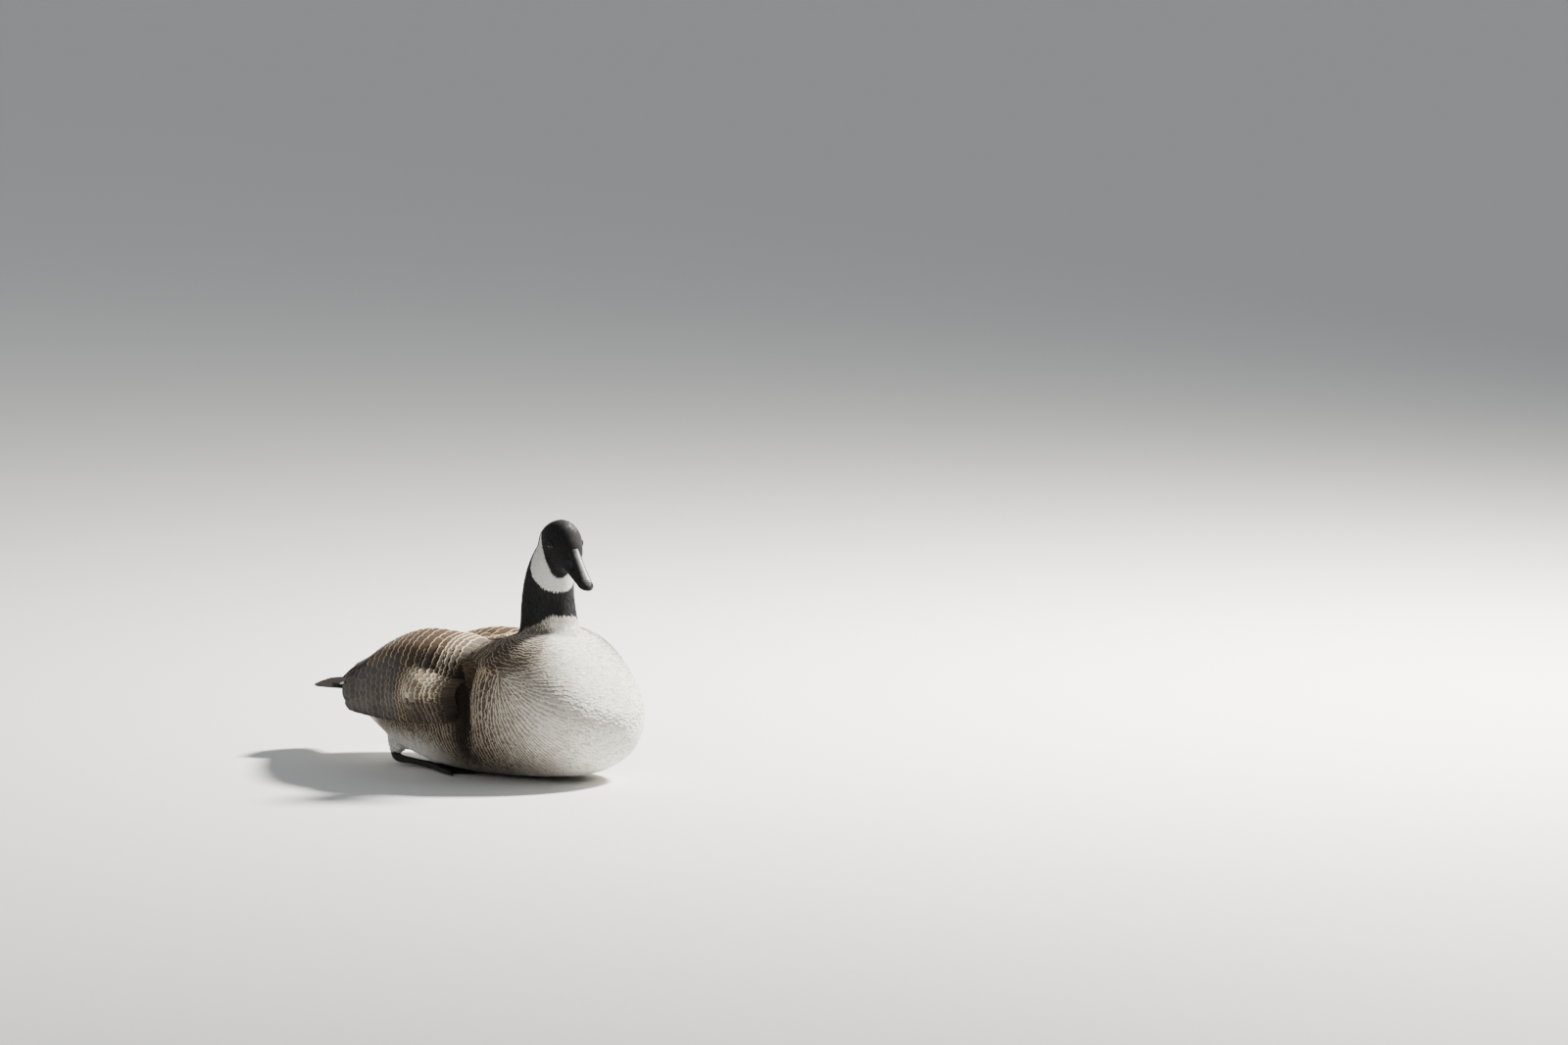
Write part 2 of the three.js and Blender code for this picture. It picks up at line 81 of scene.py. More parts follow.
def unit(v):
    return v / np.maximum(np.linalg.norm(v, axis=-1, keepdims=True), 1e-9)


def catmull(p, q, r, u, f):
    """The value at share f of the way from q to r, with p before them and u after them."""
    return q + 0.5 * f * (r - p + f * (2 * p - 5 * q + 4 * r - u + f * (3 * (q - r) + u - p)))


def spline(values, t, ends="free"):
    """Catmull-Rom value at t in 0..1 through evenly spaced values."""
    values = np.asarray(values, float)
    last = len(values) - 1
    if ends == "mirror":
        before, after = values[1], values[last - 1]
    elif ends == "turn":
        before, after = -values[1], -values[last - 1]
    else:
        before = 2 * values[0] - values[1]
        after = 2 * values[last] - values[last - 1]
    padded = np.concatenate([[before], values, [after]])
    s = clamp(np.asarray(t, float)) * last
    i = np.minimum(last - 1, np.floor(s)).astype(int)
    f = s - i
    return catmull(padded[i], padded[i + 1], padded[i + 2], padded[i + 3], f)


def to_frame(points):
    return np.asarray(points, float) * MM + SHIFT


def bird_points(points):
    return (np.asarray(points) - SHIFT) / MM


# Mesh helpers

DOUBLED = 1e-6
FLOOR_SOFT = 0.0025


def placed(name, data):
    """A new object in the scene that shows the data."""
    made = bpy.data.objects.new(name, data)
    bpy.context.scene.collection.objects.link(made)
    return made


def all_smooth(mesh):
    mesh.polygons.foreach_set("use_smooth", [True] * len(mesh.polygons))


def mesh_object(name, points, faces):
    """An object from points in the bird's millimetres."""
    mesh = bpy.data.meshes.new(name)
    mesh.from_pydata([tuple(p) for p in to_frame(points)], [], [tuple(f) for f in faces])
    all_smooth(mesh)
    mesh.update()
    return placed(name, mesh)


def set_attribute(mesh, name, kind, values, domain="POINT"):
    attribute = mesh.attributes.new(name, kind, domain)
    field = {"FLOAT": "value", "FLOAT_VECTOR": "vector", "FLOAT_COLOR": "color"}[kind]
    attribute.data.foreach_set(field, np.asarray(values, np.float32).ravel())


def turn_outwards(mesh, merged=False):
    shape = bmesh.new()
    shape.from_mesh(mesh)
    if merged:
        bmesh.ops.remove_doubles(shape, verts=shape.verts, dist=DOUBLED)
    bmesh.ops.recalc_face_normals(shape, faces=shape.faces)
    shape.to_mesh(mesh)
    shape.free()


def outward(made):
    """Merges doubled points and turns every face outwards."""
    turn_outwards(made.data, merged=True)
    return made


def above_floor(mesh):
    """Presses what would sink through the floor into a thin layer over it."""
    points = np.zeros(len(mesh.vertices) * 3, np.float32)
    mesh.vertices.foreach_get("co", points)
    z = points[2::3]
    low = z < FLOOR_SOFT
    z[low] = FLOOR_SOFT * np.exp(z[low] / FLOOR_SOFT - 1)
    mesh.vertices.foreach_set("co", points)


def one_surface(made, voxel, smoothing):
    """Turns overlapping closed shapes into one rounded skin that stays over the floor."""
    voxels = made.modifiers.new("one_surface", "REMESH")
    voxels.mode = "VOXEL"
    voxels.voxel_size = voxel
    soft = made.modifiers.new("round", "SMOOTH")
    soft.factor = 0.5
    soft.iterations = smoothing
    graph = bpy.context.evaluated_depsgraph_get()
    mesh = bpy.data.meshes.new_from_object(made.evaluated_get(graph))
    made.modifiers.clear()
    made.data = mesh
    all_smooth(mesh)
    above_floor(mesh)
    return made


def skin_grid(sides, rings, place):
    """Points and faces of a closed skin whose ends are poles; place takes arrays t and angle."""
    t = np.repeat(np.arange(1, rings) / rings, sides)
    angle = np.tile(2 * math.pi * np.arange(sides) / sides, rings - 1)
    ends = place(np.array([0.0, 1.0]), np.array([0.0, 0.0]))
    points = np.vstack([place(t, angle), ends])
    first, last = len(points) - 2, len(points) - 1
    faces = []
    for i in range(rings - 2):
        for j in range(sides):
            k = (j + 1) % sides
            faces.append((i * sides + j, (i + 1) * sides + j, (i + 1) * sides + k, i * sides + k))
    for j in range(sides):
        k = (j + 1) % sides
        faces.append((first, j, k))
        faces.append((last, (rings - 2) * sides + k, (rings - 2) * sides + j))
    return points, faces


def plate_grid(na, nb, outer, inner):
    """Points and faces of a closed plate between two faces given at arrays a and b."""
    a = np.repeat(np.arange(na + 1) / na, nb + 1)
    b = np.tile(np.arange(nb + 1) / nb, na + 1)
    points = np.vstack([outer(a, b), inner(a, b)])
    count = (na + 1) * (nb + 1)
    faces = []
    for i in range(na):
        for j in range(nb):
            k = i * (nb + 1) + j
            faces.append((k, k + nb + 1, k + nb + 2, k + 1))
            faces.append((count + k + 1, count + k + nb + 2, count + k + nb + 1, count + k))
    rim = list(range(nb))
    rim += [i * (nb + 1) + nb for i in range(na)]
    rim += [na * (nb + 1) + j for j in range(nb, 0, -1)]
    rim += [i * (nb + 1) for i in range(na, 0, -1)]
    for k, here in enumerate(rim):
        there = rim[(k + 1) % len(rim)]
        faces.append((here, there, count + there, count + here))
    return points, faces


# The body's forms, as in the solids

TAIL_ROOT_Y = 236
TAIL_TIP_Y = 292
TORSO_ROWS = np.array([
    [BREAST_Y, 88, 0, 0, 0],
    [-255, 88, 34, 50, 61],
    [-214, 96, 70, 86, 99],
    [-154, 105, 106, 105, 122],
    [-75, 105, 90, 109, 134],
    [5, 105, 68, 109, 132],
    [82, 108, 50, 98, 116],
    [148, 107, 29, 74, 86],
    [202, 102, 15, 40, 54],
    [TAIL_ROOT_Y, 97, 0, 0, 0],
])
FULLNESS = 0.88
# The flank draws in just ahead of the wing's bend, less so on the bird's left.
NOTCH = {"y": -88, "wide": 13, "deep": 15, "low": 70, "high": 168, "left": 0.35}


def torso_point(t, angle, grow=0.0):
    y = spline(TORSO_ROWS[:, 0], t, "mirror")
    middle = spline(TORSO_ROWS[:, 1], t, "mirror")
    up, down, half = [spline(TORSO_ROWS[:, k], t, "turn") for k in (2, 3, 4)]
    s = np.sign(np.sin(angle)) * np.abs(np.sin(angle)) ** FULLNESS
    c = np.sign(np.cos(angle)) * np.abs(np.cos(angle)) ** FULLNESS

    def swell(v):
        return v + grow * np.minimum(1, v / 20)

    z = middle + np.where(s > 0, swell(up), swell(down)) * s
    level = smooth(NOTCH["low"] - 25, NOTCH["low"] + 20, z)
    level = level * smooth(NOTCH["high"], NOTCH["high"] - 20, z)
    dent = NOTCH["deep"] * hump(y, NOTCH["y"], NOTCH["wide"]) * level
    dent = dent * np.where(c > 0, NOTCH["left"], 1)
    return np.stack([
        (swell(half) - dent) * c,
        y - grow * np.cos(math.pi * t),
        z,
    ], -1)


NECK_ROWS = np.array([
    [-134, 120, 0, 0],
    [-133, 148, 34, 36],
    [-131, 186, 42, 44],
    [-129, 218, 40.5, 41],
    [-128, 248, 38, 38],
    [-131, 277, 36, 36],
    [-137, 304, 32, 32],
    [-144, 328, 21, 24],
    [-147, 341, 0, 0],
])
HEAD_AT = np.array([-3.0, -164.0, 324.0])
HEAD_YAW = math.radians(17)
HEAD_PITCH = math.radians(27)


def neck_point(t, angle, grow=0.0):
    lean = mix(0, HEAD_AT[0], clamp(t) ** 2)
    half = spline(NECK_ROWS[:, 2], t, "turn")
    depth = spline(NECK_ROWS[:, 3], t, "turn")

    def swell(v):
        return v + grow * np.minimum(1, v / 20)

    return np.stack([
        lean + swell(half) * np.cos(angle),
        spline(NECK_ROWS[:, 0], t, "mirror") + swell(depth) * np.sin(angle),
        spline(NECK_ROWS[:, 1], t, "mirror") + grow * np.where(t > 0.5, 1, -1),
    ], -1)


HEAD_TURN = np.array(
    Matrix.Rotation(-HEAD_YAW, 3, "Z") @ Matrix.Rotation(HEAD_PITCH, 3, "X")
)


def in_head(f, r, u):
    """A point given as F to the bill, R to the bird's right and U up, from between the eyes."""
    local = np.stack(np.broadcast_arrays(-np.asarray(r, float), -np.asarray(f, float), u), -1)
    return local @ HEAD_TURN.T + HEAD_AT


def from_head(points):
    """F, R and U of points."""
    local = (np.asarray(points) - HEAD_AT) @ HEAD_TURN
    return -local[..., 1], -local[..., 0], local[..., 2]


HEAD_ROWS = np.array([
    [-49, -12, 0, 0, 0],
    [-42, -11, 22, 24, 19],
    [-25, -8, 34, 36, 27],
    [-4, -6, 34, 35, 28],
    [14, -7, 26, 26, 22.5],
    [26, -8, 17, 16, 16],
    [35, -9, 0, 0, 0],
])


def head_point(t, angle, grow=0.0):
    s = np.sin(angle)
    up, down, half = [spline(HEAD_ROWS[:, k], t, "turn") for k in (2, 3, 4)]
    up, down, half = [v + grow * np.minimum(1, v / 8) for v in (up, down, half)]
    return in_head(
        spline(HEAD_ROWS[:, 0], t, "mirror") - grow * np.cos(math.pi * t),
        half * np.cos(angle),
        spline(HEAD_ROWS[:, 1], t, "mirror") + np.where(s > 0, up, down) * s,
    )


# Wings lie on a sheet over the back and flank: b from the middle of the back to the lower edge,
# a from the front edge to the rear one.
WING_FRONT = -95
WING_REAR = 250
LOW_WING = np.array([
    [[28, 186], [64, 196], [104, 184], [132, 155], [150, 117], [146, 78]],
    [[26, 184], [64, 197], [110, 186], [140, 156], [154, 116], [148, 76]],
    [[22, 179], [62, 196], [108, 180], [138, 146], [148, 108], [140, 74]],
    [[17, 163], [52, 175], [92, 158], [118, 127], [127, 99], [121, 74]],
    [[11, 134], [36, 141], [67, 128], [90, 108], [99, 92], [96, 76]],
    [[7, 106], [23, 109], [42, 104], [55, 97], [62, 90], [64, 82]],
], float)
TUCKED_OUT = 0.97
TUCKED_DROP = 10
WRIST = {"out": 29, "b": 0.76, "y": -52, "wide": 0.19, "long": 56}


def ledge(ahead):
    """Where along b the fold's upper edge lies; it dips towards the front."""
    return 0.60 + 0.08 * ahead


CURL_DEPTH = 20
CURL_SHARE = 0.1
CORE_DEPTH = 3.5


def front_edge(b):
    return -54 - 26 * hump(b, 0.78, 0.33)


def rear_edge(b):
    return mix(246, 162, clamp(b * 1.15) ** 0.8)


def padded_stations(k):
    """The stations' k-th coordinate with one row and column more on each side."""
    table = LOW_WING[:, :, k]
    first, last = 2 * table[:, :1] - table[:, 1:2], 2 * table[:, -1:] - table[:, -2:-1]
    table = np.concatenate([first, table, last], 1)
    return np.concatenate([2 * table[:1] - table[1:2], table, 2 * table[-1:] - table[-2:-1]], 0)


STATIONS = [padded_stations(0), padded_stations(1)]


def sheet_at(side, y, b):
    """A point of the wing's sheet, with the bulge of its wrist."""
    y, b = np.broadcast_arrays(np.asarray(y, float), np.asarray(b, float))
    row = clamp((y - WING_FRONT) / (WING_REAR - WING_FRONT)) * 5
    column = clamp(b) * 5
    i = np.minimum(4, np.floor(row)).astype(int)
    j = np.minimum(4, np.floor(column)).astype(int)
    fi, fj = row - i, column - j

    def pick(table):
        across = [
            catmull(*[table[i + m, j + n] for n in range(4)], fj) for m in range(4)
        ]
        return catmull(*across, fi)

    tuck = 0 if side > 0 else 1
    bulge = WRIST["out"] * hump(b, WRIST["b"], WRIST["wide"]) * hump(y, WRIST["y"], WRIST["long"])
    fold = ledge(smooth(-20, -80, y))
    bulge = bulge * mix(0.5, 1.1, smooth(fold - 0.05, fold + 0.05, b))
    out = pick(STATIONS[0]) * mix(1, TUCKED_OUT, tuck) + bulge * mix(1, 0.6, tuck)
    up = pick(STATIONS[1]) - TUCKED_DROP * tuck * hump(b, 0.2, 0.3)
    return np.stack([-side * out, y, up], -1)


def wing_point(side, a, b):
    """A point of the sheet given by a and b, with its front edge curled in towards the body."""
    point = sheet_at(side, mix(front_edge(b), rear_edge(b), a), b)
    roll = np.maximum(0, 1 - a / CURL_SHARE) ** 2 * CURL_DEPTH
    point[..., 0] += side * roll * clamp(b * 3)
    point[..., 2] -= roll * 0.5 * clamp(1 - b * 2)
    return point


def wing_normal(side, a, b):
    step = 0.01
    da = wing_point(side, a + step, b) - wing_point(side, a - step, b)
    db = wing_point(side, a, b + step) - wing_point(side, a, b - step)
    return unit(np.cross(da, db) * side)


# Plumage colours, as linear values of the feather itself in plain light. Painted shade is in the
# side breast's colours in part, and wholly in the groove's, the fold's and the lower fold's; the
# crest's are painted light.

BLACK = (0.0085, 0.0080, 0.0085)
BLACK_TIP = (0.034, 0.031, 0.031)
WHITE = (0.80, 0.78, 0.73)
BREAST = (0.69, 0.655, 0.59)
BREAST_TIP = (0.80, 0.775, 0.72)
# The side breast's own barred grey-brown, made darker as painted shade
SIDE_BREAST_AND_SHADE = (0.225, 0.195, 0.162)
SIDE_BREAST_AND_SHADE_TIP = (0.56, 0.52, 0.46)
FLANK = (0.078, 0.059, 0.045)
FLANK_TIP = (0.42, 0.36, 0.28)
# Painted shade for the notch between the breast and the wing's bend
GROOVE_SHADE = (0.020, 0.015, 0.011)
GROOVE_SHADE_TIP = (0.055, 0.042, 0.032)
MANTLE = (0.125, 0.085, 0.058)
MANTLE_TIP = (0.50, 0.39, 0.27)
WING_BROWN = (0.100, 0.066, 0.042)
WING_TIP = (0.66, 0.52, 0.33)
# Painted light: paler feathers on the top of the wrist's lump
CREST_LIT = (0.27, 0.215, 0.155)
CREST_LIT_TIP = (0.74, 0.66, 0.52)
# Painted shade: darker feathers just above the fold's upper edge, over the wrist's lump
FOLD_SHADE = (0.052, 0.040, 0.031)
FOLD_SHADE_TIP = (0.38, 0.31, 0.23)
# Painted shade: darker feathers on the lower part of the wrist's lump
LOWER_FOLD_SHADE = (0.074, 0.059, 0.048)
LOWER_FOLD_SHADE_TIP = (0.21, 0.175, 0.14)
PALE_SPOT = (0.48, 0.43, 0.35)
REAR_BROWN = (0.088, 0.077, 0.068)
REAR_TIP = (0.185, 0.160, 0.135)
RUST_TIP = (0.25, 0.105, 0.062)
QUILL = (0.016, 0.013, 0.012)
QUILL_EDGE = (0.06, 0.04, 0.03)
TAIL_BROWN = (0.022, 0.017, 0.014)
TAIL_EDGE = (0.06, 0.045, 0.035)

# The cheek patch lies between two lines in the head's F and U.
CHEEK_INNER = (
    (-34, 3), (-20, -6), (-4, -15), (11, -28), (17, -35), (22, -40.5), (26, -46), (40, -52),
)
CHEEK_OUTER = (
    (-34, 8), (-30, -6), (-20, -30), (-11, -43.5), (4, -52), (18, -55.5), (26, -57.5), (40, -61),
)
CHEEK_TOP_F = -31
NECK_AXIS = np.array([0.0, -130.0])
# The black of the neck ends highest in front, where the head turns to, and lowest at the nape.
BLACK_EDGE = {"high": 224, "low": 189, "turn": 16, "near": 15, "far": 150, "reach": 50}
# The other markings of the body, with the painted shade by the shoulder, in the notch ahead of the
# wing and over the side breast. Each begins at a pair's first value and is full at its second,
# along x, y or z in mm, along the distance from SHOULDER or along the normal's upward part.
MARKS = {
    "side_bars_and_shade_x": (20, 85), "side_bars_and_shade_y": (-262, -175), "side_bars_and_shade_z": (205, 180),
    "flank_x": (40, 90), "flank_y": (-185, -108),
    "back_y": (-150, -95), "back_z": (120, 150), "back_up": (0.15, 0.5),
    "shoulder_shade_apart": (70, 50), "shoulder_shade_z": (150, 165),
    "groove_shade_x": (78, 106), "groove_shade_z": (192, 176),
    "low_y": (-60, 30), "low_z": (70, 25),
    "vent_y": (105, 135), "vent_z": (112, 98),
    "top_up": (0.2, 0.5), "rump_y": (150, 170), "crescent_y": (204, 212),
}
SHOULDER = (74, -118)
# Where along y the painted shade of the notch lies, and how wide it is
GROOVE_SHADE_Y = -81
GROOVE_SHADE_WIDE = 18
TIP_WIDTH = {"breast": 2.2, "side": 1.3, "flank": 1.2}


def wobble(points, size, seed):
    """A smooth wavy number about 0 for breaking up straight borders."""
    k = np.random.default_rng(seed).normal(size=(6, 3)) / size
    phase = np.random.default_rng(seed + 1).uniform(0, 6.3, 6)
    return np.sin(points @ k.T + phase).sum(-1) / 3


def cheek(points):
    """How far a point is inside the white patch, in mm."""
    f, _, u = from_head(points)
    inner = np.interp(f, *zip(*CHEEK_INNER))
    outer = np.interp(f, *zip(*CHEEK_OUTER))
    inside = np.minimum(inner - u, u - outer) + 0.7 * wobble(points, 9, 5)
    return np.minimum(inside, f - CHEEK_TOP_F)


def black_depth(points):
    """How far a point is inside the black of the neck and head, in mm."""
    x, y = points[..., 0] - NECK_AXIS[0], points[..., 1] - NECK_AXIS[1]
    turn = np.abs(np.degrees(np.arctan2(-x, -y)) - BLACK_EDGE["turn"])
    turn = np.minimum(turn, 360 - turn)
    share = smooth(BLACK_EDGE["far"], BLACK_EDGE["near"], turn)
    edge = mix(BLACK_EDGE["low"], BLACK_EDGE["high"], share)
    inside = points[..., 2] - edge + 2.0 * wobble(points, 12, 9)
    return np.minimum(inside, BLACK_EDGE["reach"] + 0.5 * inside - np.hypot(x, y))


def mark(name, v):
    return smooth(*MARKS[name], v)


def barred(points):
    """How much of the side breast's barring with its painted shade, and of the flank's, is at each place.
    """
    x, y, z = points.T
    aside = np.abs(x)
    drift = y + 14 * wobble(points, 60, 3)
    side = mark("side_bars_and_shade_y", drift) * mark("side_bars_and_shade_x", aside) * mark("side_bars_and_shade_z", z)
    return side, mark("flank_y", drift) * mark("flank_x", aside)


def paint(points, normals):
    """Colour of the feather, colour of its tip and width of that tip in mm, at each place."""
    count = len(points)
    tone = np.empty((count, 3))
    tip = np.empty((count, 3))
    x, y, z = points.T
    aside = np.abs(x)
    up = normals[:, 2]
    # side is the side breast's barring, carried further forward and down the breast as painted shade
    side, flank = barred(points)
    back = mark("back_y", y) * mark("back_up", up) * mark("back_z", z)
    # Painted shade in the hollow between the foot of the neck and the wing, in the flank's colours
    apart = np.hypot(aside - SHOULDER[0], y - SHOULDER[1])
    shoulder_shade = mark("shoulder_shade_apart", apart) * mark("shoulder_shade_z", z)
    # Painted shade in the notch ahead of the wing's bend, weaker on the bird's left
    groove_shade = hump(y, GROOVE_SHADE_Y, GROOVE_SHADE_WIDE) * mark("groove_shade_x", aside) * mark("groove_shade_z", z)
    groove_shade = groove_shade * np.where(x > 0, NOTCH["left"], 1)
    low = mark("low_z", z) * mark("low_y", y)
    vent = mark("vent_y", y) * mark("vent_z", z)
    top = mark("top_up", up)
    rump = mark("rump_y", y) * top
    crescent = mark("crescent_y", y) * top
    black = smooth(-1, 1, black_depth(points))
    white = smooth(-0.5, 0.5, cheek(points))
    layers = (
        (side, SIDE_BREAST_AND_SHADE, SIDE_BREAST_AND_SHADE_TIP), (flank, FLANK, FLANK_TIP),
        (groove_shade, GROOVE_SHADE, GROOVE_SHADE_TIP), (low, WHITE, WHITE),
        (back, MANTLE, MANTLE_TIP), (0.8 * shoulder_shade, FLANK, FLANK_TIP),
        (vent, WHITE, WHITE), (rump, TAIL_BROWN, TAIL_BROWN), (crescent, WHITE, WHITE),
        (black, BLACK, BLACK_TIP), (white, WHITE, WHITE),
    )
    for k in range(3):
        body, body_tip = BREAST[k], BREAST_TIP[k]
        for share, colour, edge in layers:
            body = mix(body, colour[k], share)
            body_tip = mix(body_tip, edge[k], share)
        tone[:, k] = body
        tip[:, k] = body_tip
    width = mix(mix(TIP_WIDTH["breast"], TIP_WIDTH["side"], side), TIP_WIDTH["flank"], flank)
    return tone, tip, width


# Where a root lies on the unwrap of the skin: the torso, wings, neck and head are islands laid
# side by side, each unrolled round its own axis.
PATCH = 0.003


def unroll(points):
    x, y, z = points.T
    turn = np.arctan2(z - 100, x) / (2 * math.pi) + 0.5
    flat = np.stack([0.02 + 0.58 * turn, 0.02 + 0.95 * clamp((y + 280) / 580)], -1)
    f, r, u = from_head(points)
    on_head = u > -36 - 0.5 * np.maximum(0, -f - 10)
    on_neck = (z > 205) & (np.hypot(x, y + 132) < 60) & ~on_head
    ring = np.arctan2(x, -(y + 132)) / (2 * math.pi) + 0.5
    flat[on_neck] = np.stack([0.64 + 0.34 * ring, 0.52 + 0.2 * clamp((z - 205) / 110)], -1)[on_neck]
    roll = np.arctan2(r, -u - 8) / (2 * math.pi) + 0.5
    flat[on_head] = np.stack([0.64 + 0.34 * roll, 0.75 + 0.22 * clamp((f + 50) / 90)], -1)[on_head]
    return flat


def unroll_wing(side, a, b):
    left = 0.64 if side > 0 else 0.82
    return np.stack([left + 0.15 * clamp(b), 0.02 + 0.46 * clamp((a + 0.1) / 1.4)], -1)


# Node helpers

class Nodes:
    """Builds a node tree with short calls; a value that is a socket is linked."""

    def __init__(self, tree):
        self.tree = tree

    def add(self, kind, inputs=None, **settings):
        node = self.tree.nodes.new(kind)
        for key, value in settings.items():
            setattr(node, key, value)
        for key, value in (inputs or {}).items():
            self.feed(node.inputs[key], value)
        return node

    def feed(self, socket, value):
        if isinstance(value, bpy.types.NodeSocket):
            self.tree.links.new(value, socket)
        elif value is not None:
            socket.default_value = value

    def math(self, operation, *values, clamped=False):
        node = self.add("ShaderNodeMath", operation=operation, use_clamp=clamped)
        for socket, value in zip(node.inputs, values):
            self.feed(socket, value)
        return node.outputs[0]

    def vector(self, operation, *values):
        node = self.add("ShaderNodeVectorMath", operation=operation)
        for socket, value in zip(node.inputs, values):
            self.feed(socket, value)
        return node.outputs[0]

    def ramp(self, value, low, high, to_low=0.0, to_high=1.0):
        node = self.add("ShaderNodeMapRange", interpolation_type="SMOOTHSTEP")
        for key, given in enumerate((value, low, high, to_low, to_high)):
            self.feed(node.inputs[key], given)
        return node.outputs[0]

    def blend(self, factor, a, b, blend_type="MIX"):
        node = self.add("ShaderNodeMix", data_type="RGBA", blend_type=blend_type)
        self.feed(node.inputs[0], factor)
        self.feed(node.inputs[6], a)
        self.feed(node.inputs[7], b)
        return node.outputs[2]

    def noise(self, vector, scale, detail=2.0, roughness=0.5):
        node = self.add("ShaderNodeTexNoise", {
            "Vector": vector, "Scale": scale, "Detail": detail, "Roughness": roughness,
        })
        return node.outputs[0]


def shader_group(name, inputs, outputs):
    """An empty shader group with sockets; inputs are (kind, name, default)."""
    tree = bpy.data.node_groups.new(name, "ShaderNodeTree")
    for kind, label, default in inputs:
        socket = tree.interface.new_socket(label, in_out="INPUT", socket_type=kind)
        if default is not None:
            socket.default_value = default
    for kind, label in outputs:
        tree.interface.new_socket(label, in_out="OUTPUT", socket_type=kind)
    build = Nodes(tree)
    return build, build.add("NodeGroupInput"), build.add("NodeGroupOutput")


def vane_group():
    """Colour and height of a feather's face from its own coordinates: barbs that slant off the
    shaft, a pale tip, a darker root and a little chance from one feather to the next."""
    build, given, out = shader_group("feather_face", [
        ("NodeSocketColor", "Tone", None),
        ("NodeSocketColor", "Tip", None),
        ("NodeSocketVector", "Vane", None),
        ("NodeSocketVector", "Span", None),
        ("NodeSocketFloat", "Contrast", 0.25),
        ("NodeSocketFloat", "Side Edge", 0.4),
    ], [("NodeSocketColor", "Color"), ("NodeSocketFloat", "Height")])
    vane = build.add("ShaderNodeSeparateXYZ", {0: given.outputs["Vane"]})
    span = build.add("ShaderNodeSeparateXYZ", {0: given.outputs["Span"]})
    across, along, luck = vane.outputs
    half, length, width = span.outputs
    aside = build.math("ABSOLUTE", across)
    aside_mm = build.math("MULTIPLY", aside, half)
    along_mm = build.math("MULTIPLY", along, length)
    slant = build.math("SUBTRACT", along_mm, build.math("MULTIPLY", aside_mm, 0.9))
    shift = build.math("MULTIPLY", luck, 97.0)
    barb_at = build.add("ShaderNodeCombineXYZ", {
        0: slant, 1: build.math("MULTIPLY", across, 0.6), 2: shift,
    }).outputs[0]
    barbs = build.noise(barb_at, 1.5, 2.0, 0.6)
    clumps = build.noise(barb_at, 0.45, 1.0, 0.5)
    ragged = build.math("MULTIPLY_ADD", barbs, 1.2, -0.6)
    to_tip = build.math("MULTIPLY", build.math("SUBTRACT", 1.0, along), length)
    to_side = build.math("MULTIPLY", build.math("SUBTRACT", 1.0, aside), half)
    to_side = build.math("DIVIDE", to_side, build.math("MAXIMUM", given.outputs["Side Edge"], 0.01))
    near = build.math("ADD", build.math("MINIMUM", to_tip, to_side), ragged)
    rim = build.ramp(near, build.math("MULTIPLY", width, 1.25), build.math("MULTIPLY", width, 0.6))
    light = build.math("MULTIPLY_ADD", build.math("SUBTRACT", barbs, 0.5), given.outputs["Contrast"], 1.0)
    light = build.math("ADD", light, build.math("MULTIPLY_ADD", clumps, 0.3, -0.15))
    light = build.math("MULTIPLY", light, build.ramp(along, 0.2, 0.85, 0.72, 1.05))
    light = build.math("MULTIPLY", light, build.math("MULTIPLY_ADD", luck, 0.24, 0.88))
    shaft = build.ramp(aside_mm, 0.2, 0.6, 0.8, 1.0)
    light = build.math("MULTIPLY", light, shaft)
    shaded = build.vector("SCALE", given.outputs["Tone"], None)
    build.feed(shaded.node.inputs["Scale"], light)
    tipped = build.vector("SCALE", given.outputs["Tip"], None)
    build.feed(tipped.node.inputs["Scale"], build.math("MULTIPLY_ADD", luck, 0.2, 0.9))
    build.feed(out.inputs["Color"], build.blend(rim, shaded, tipped))
    build.feed(out.inputs["Height"], build.math("ADD", barbs, build.math("MULTIPLY", shaft, 0.6)))
    return build.tree


def new_material(name):
    material = bpy.data.materials.new(name)
    material.use_nodes = True
    tree = material.node_tree
    tree.nodes.clear()
    build = Nodes(tree)
    principled = build.add("ShaderNodeBsdfPrincipled")
    output = build.add("ShaderNodeOutputMaterial")
    tree.links.new(principled.outputs[0], output.inputs[0])
    return material, build, principled


def attribute(build, name):
    return build.add("ShaderNodeAttribute", attribute_name=name)


def raised(build, principled, height, strength, distance):
    """A fine relief on the finish from a height."""
    rise = build.add("ShaderNodeBump", {
        "Strength": strength, "Distance": distance, "Height": height,
    })
    build.feed(principled.inputs["Normal"], rise.outputs[0])


FEATHER_FACE = vane_group()


def plumage(name, roughness, sheen, contrast=0.25, side_edge=0.4, bump=0.25, specular=0.3):
    """Feathers that carry their own colours as attributes."""
    material, build, principled = new_material(name)
    face = build.add("ShaderNodeGroup", node_tree=FEATHER_FACE)
    build.feed(face.inputs["Tone"], attribute(build, "tone").outputs["Color"])
    build.feed(face.inputs["Tip"], attribute(build, "tip").outputs["Color"])
    build.feed(face.inputs["Vane"], attribute(build, "vane").outputs["Vector"])
    build.feed(face.inputs["Span"], attribute(build, "span").outputs["Vector"])
    build.feed(face.inputs["Contrast"], contrast)
    build.feed(face.inputs["Side Edge"], side_edge)
    build.feed(principled.inputs["Base Color"], face.outputs["Color"])
    raised(build, principled, face.outputs["Height"], bump, 0.0004)
    principled.inputs["Roughness"].default_value = roughness
    principled.inputs["Specular IOR Level"].default_value = specular
    principled.inputs["Sheen Weight"].default_value = sheen
    principled.inputs["Sheen Roughness"].default_value = 0.4
    return material


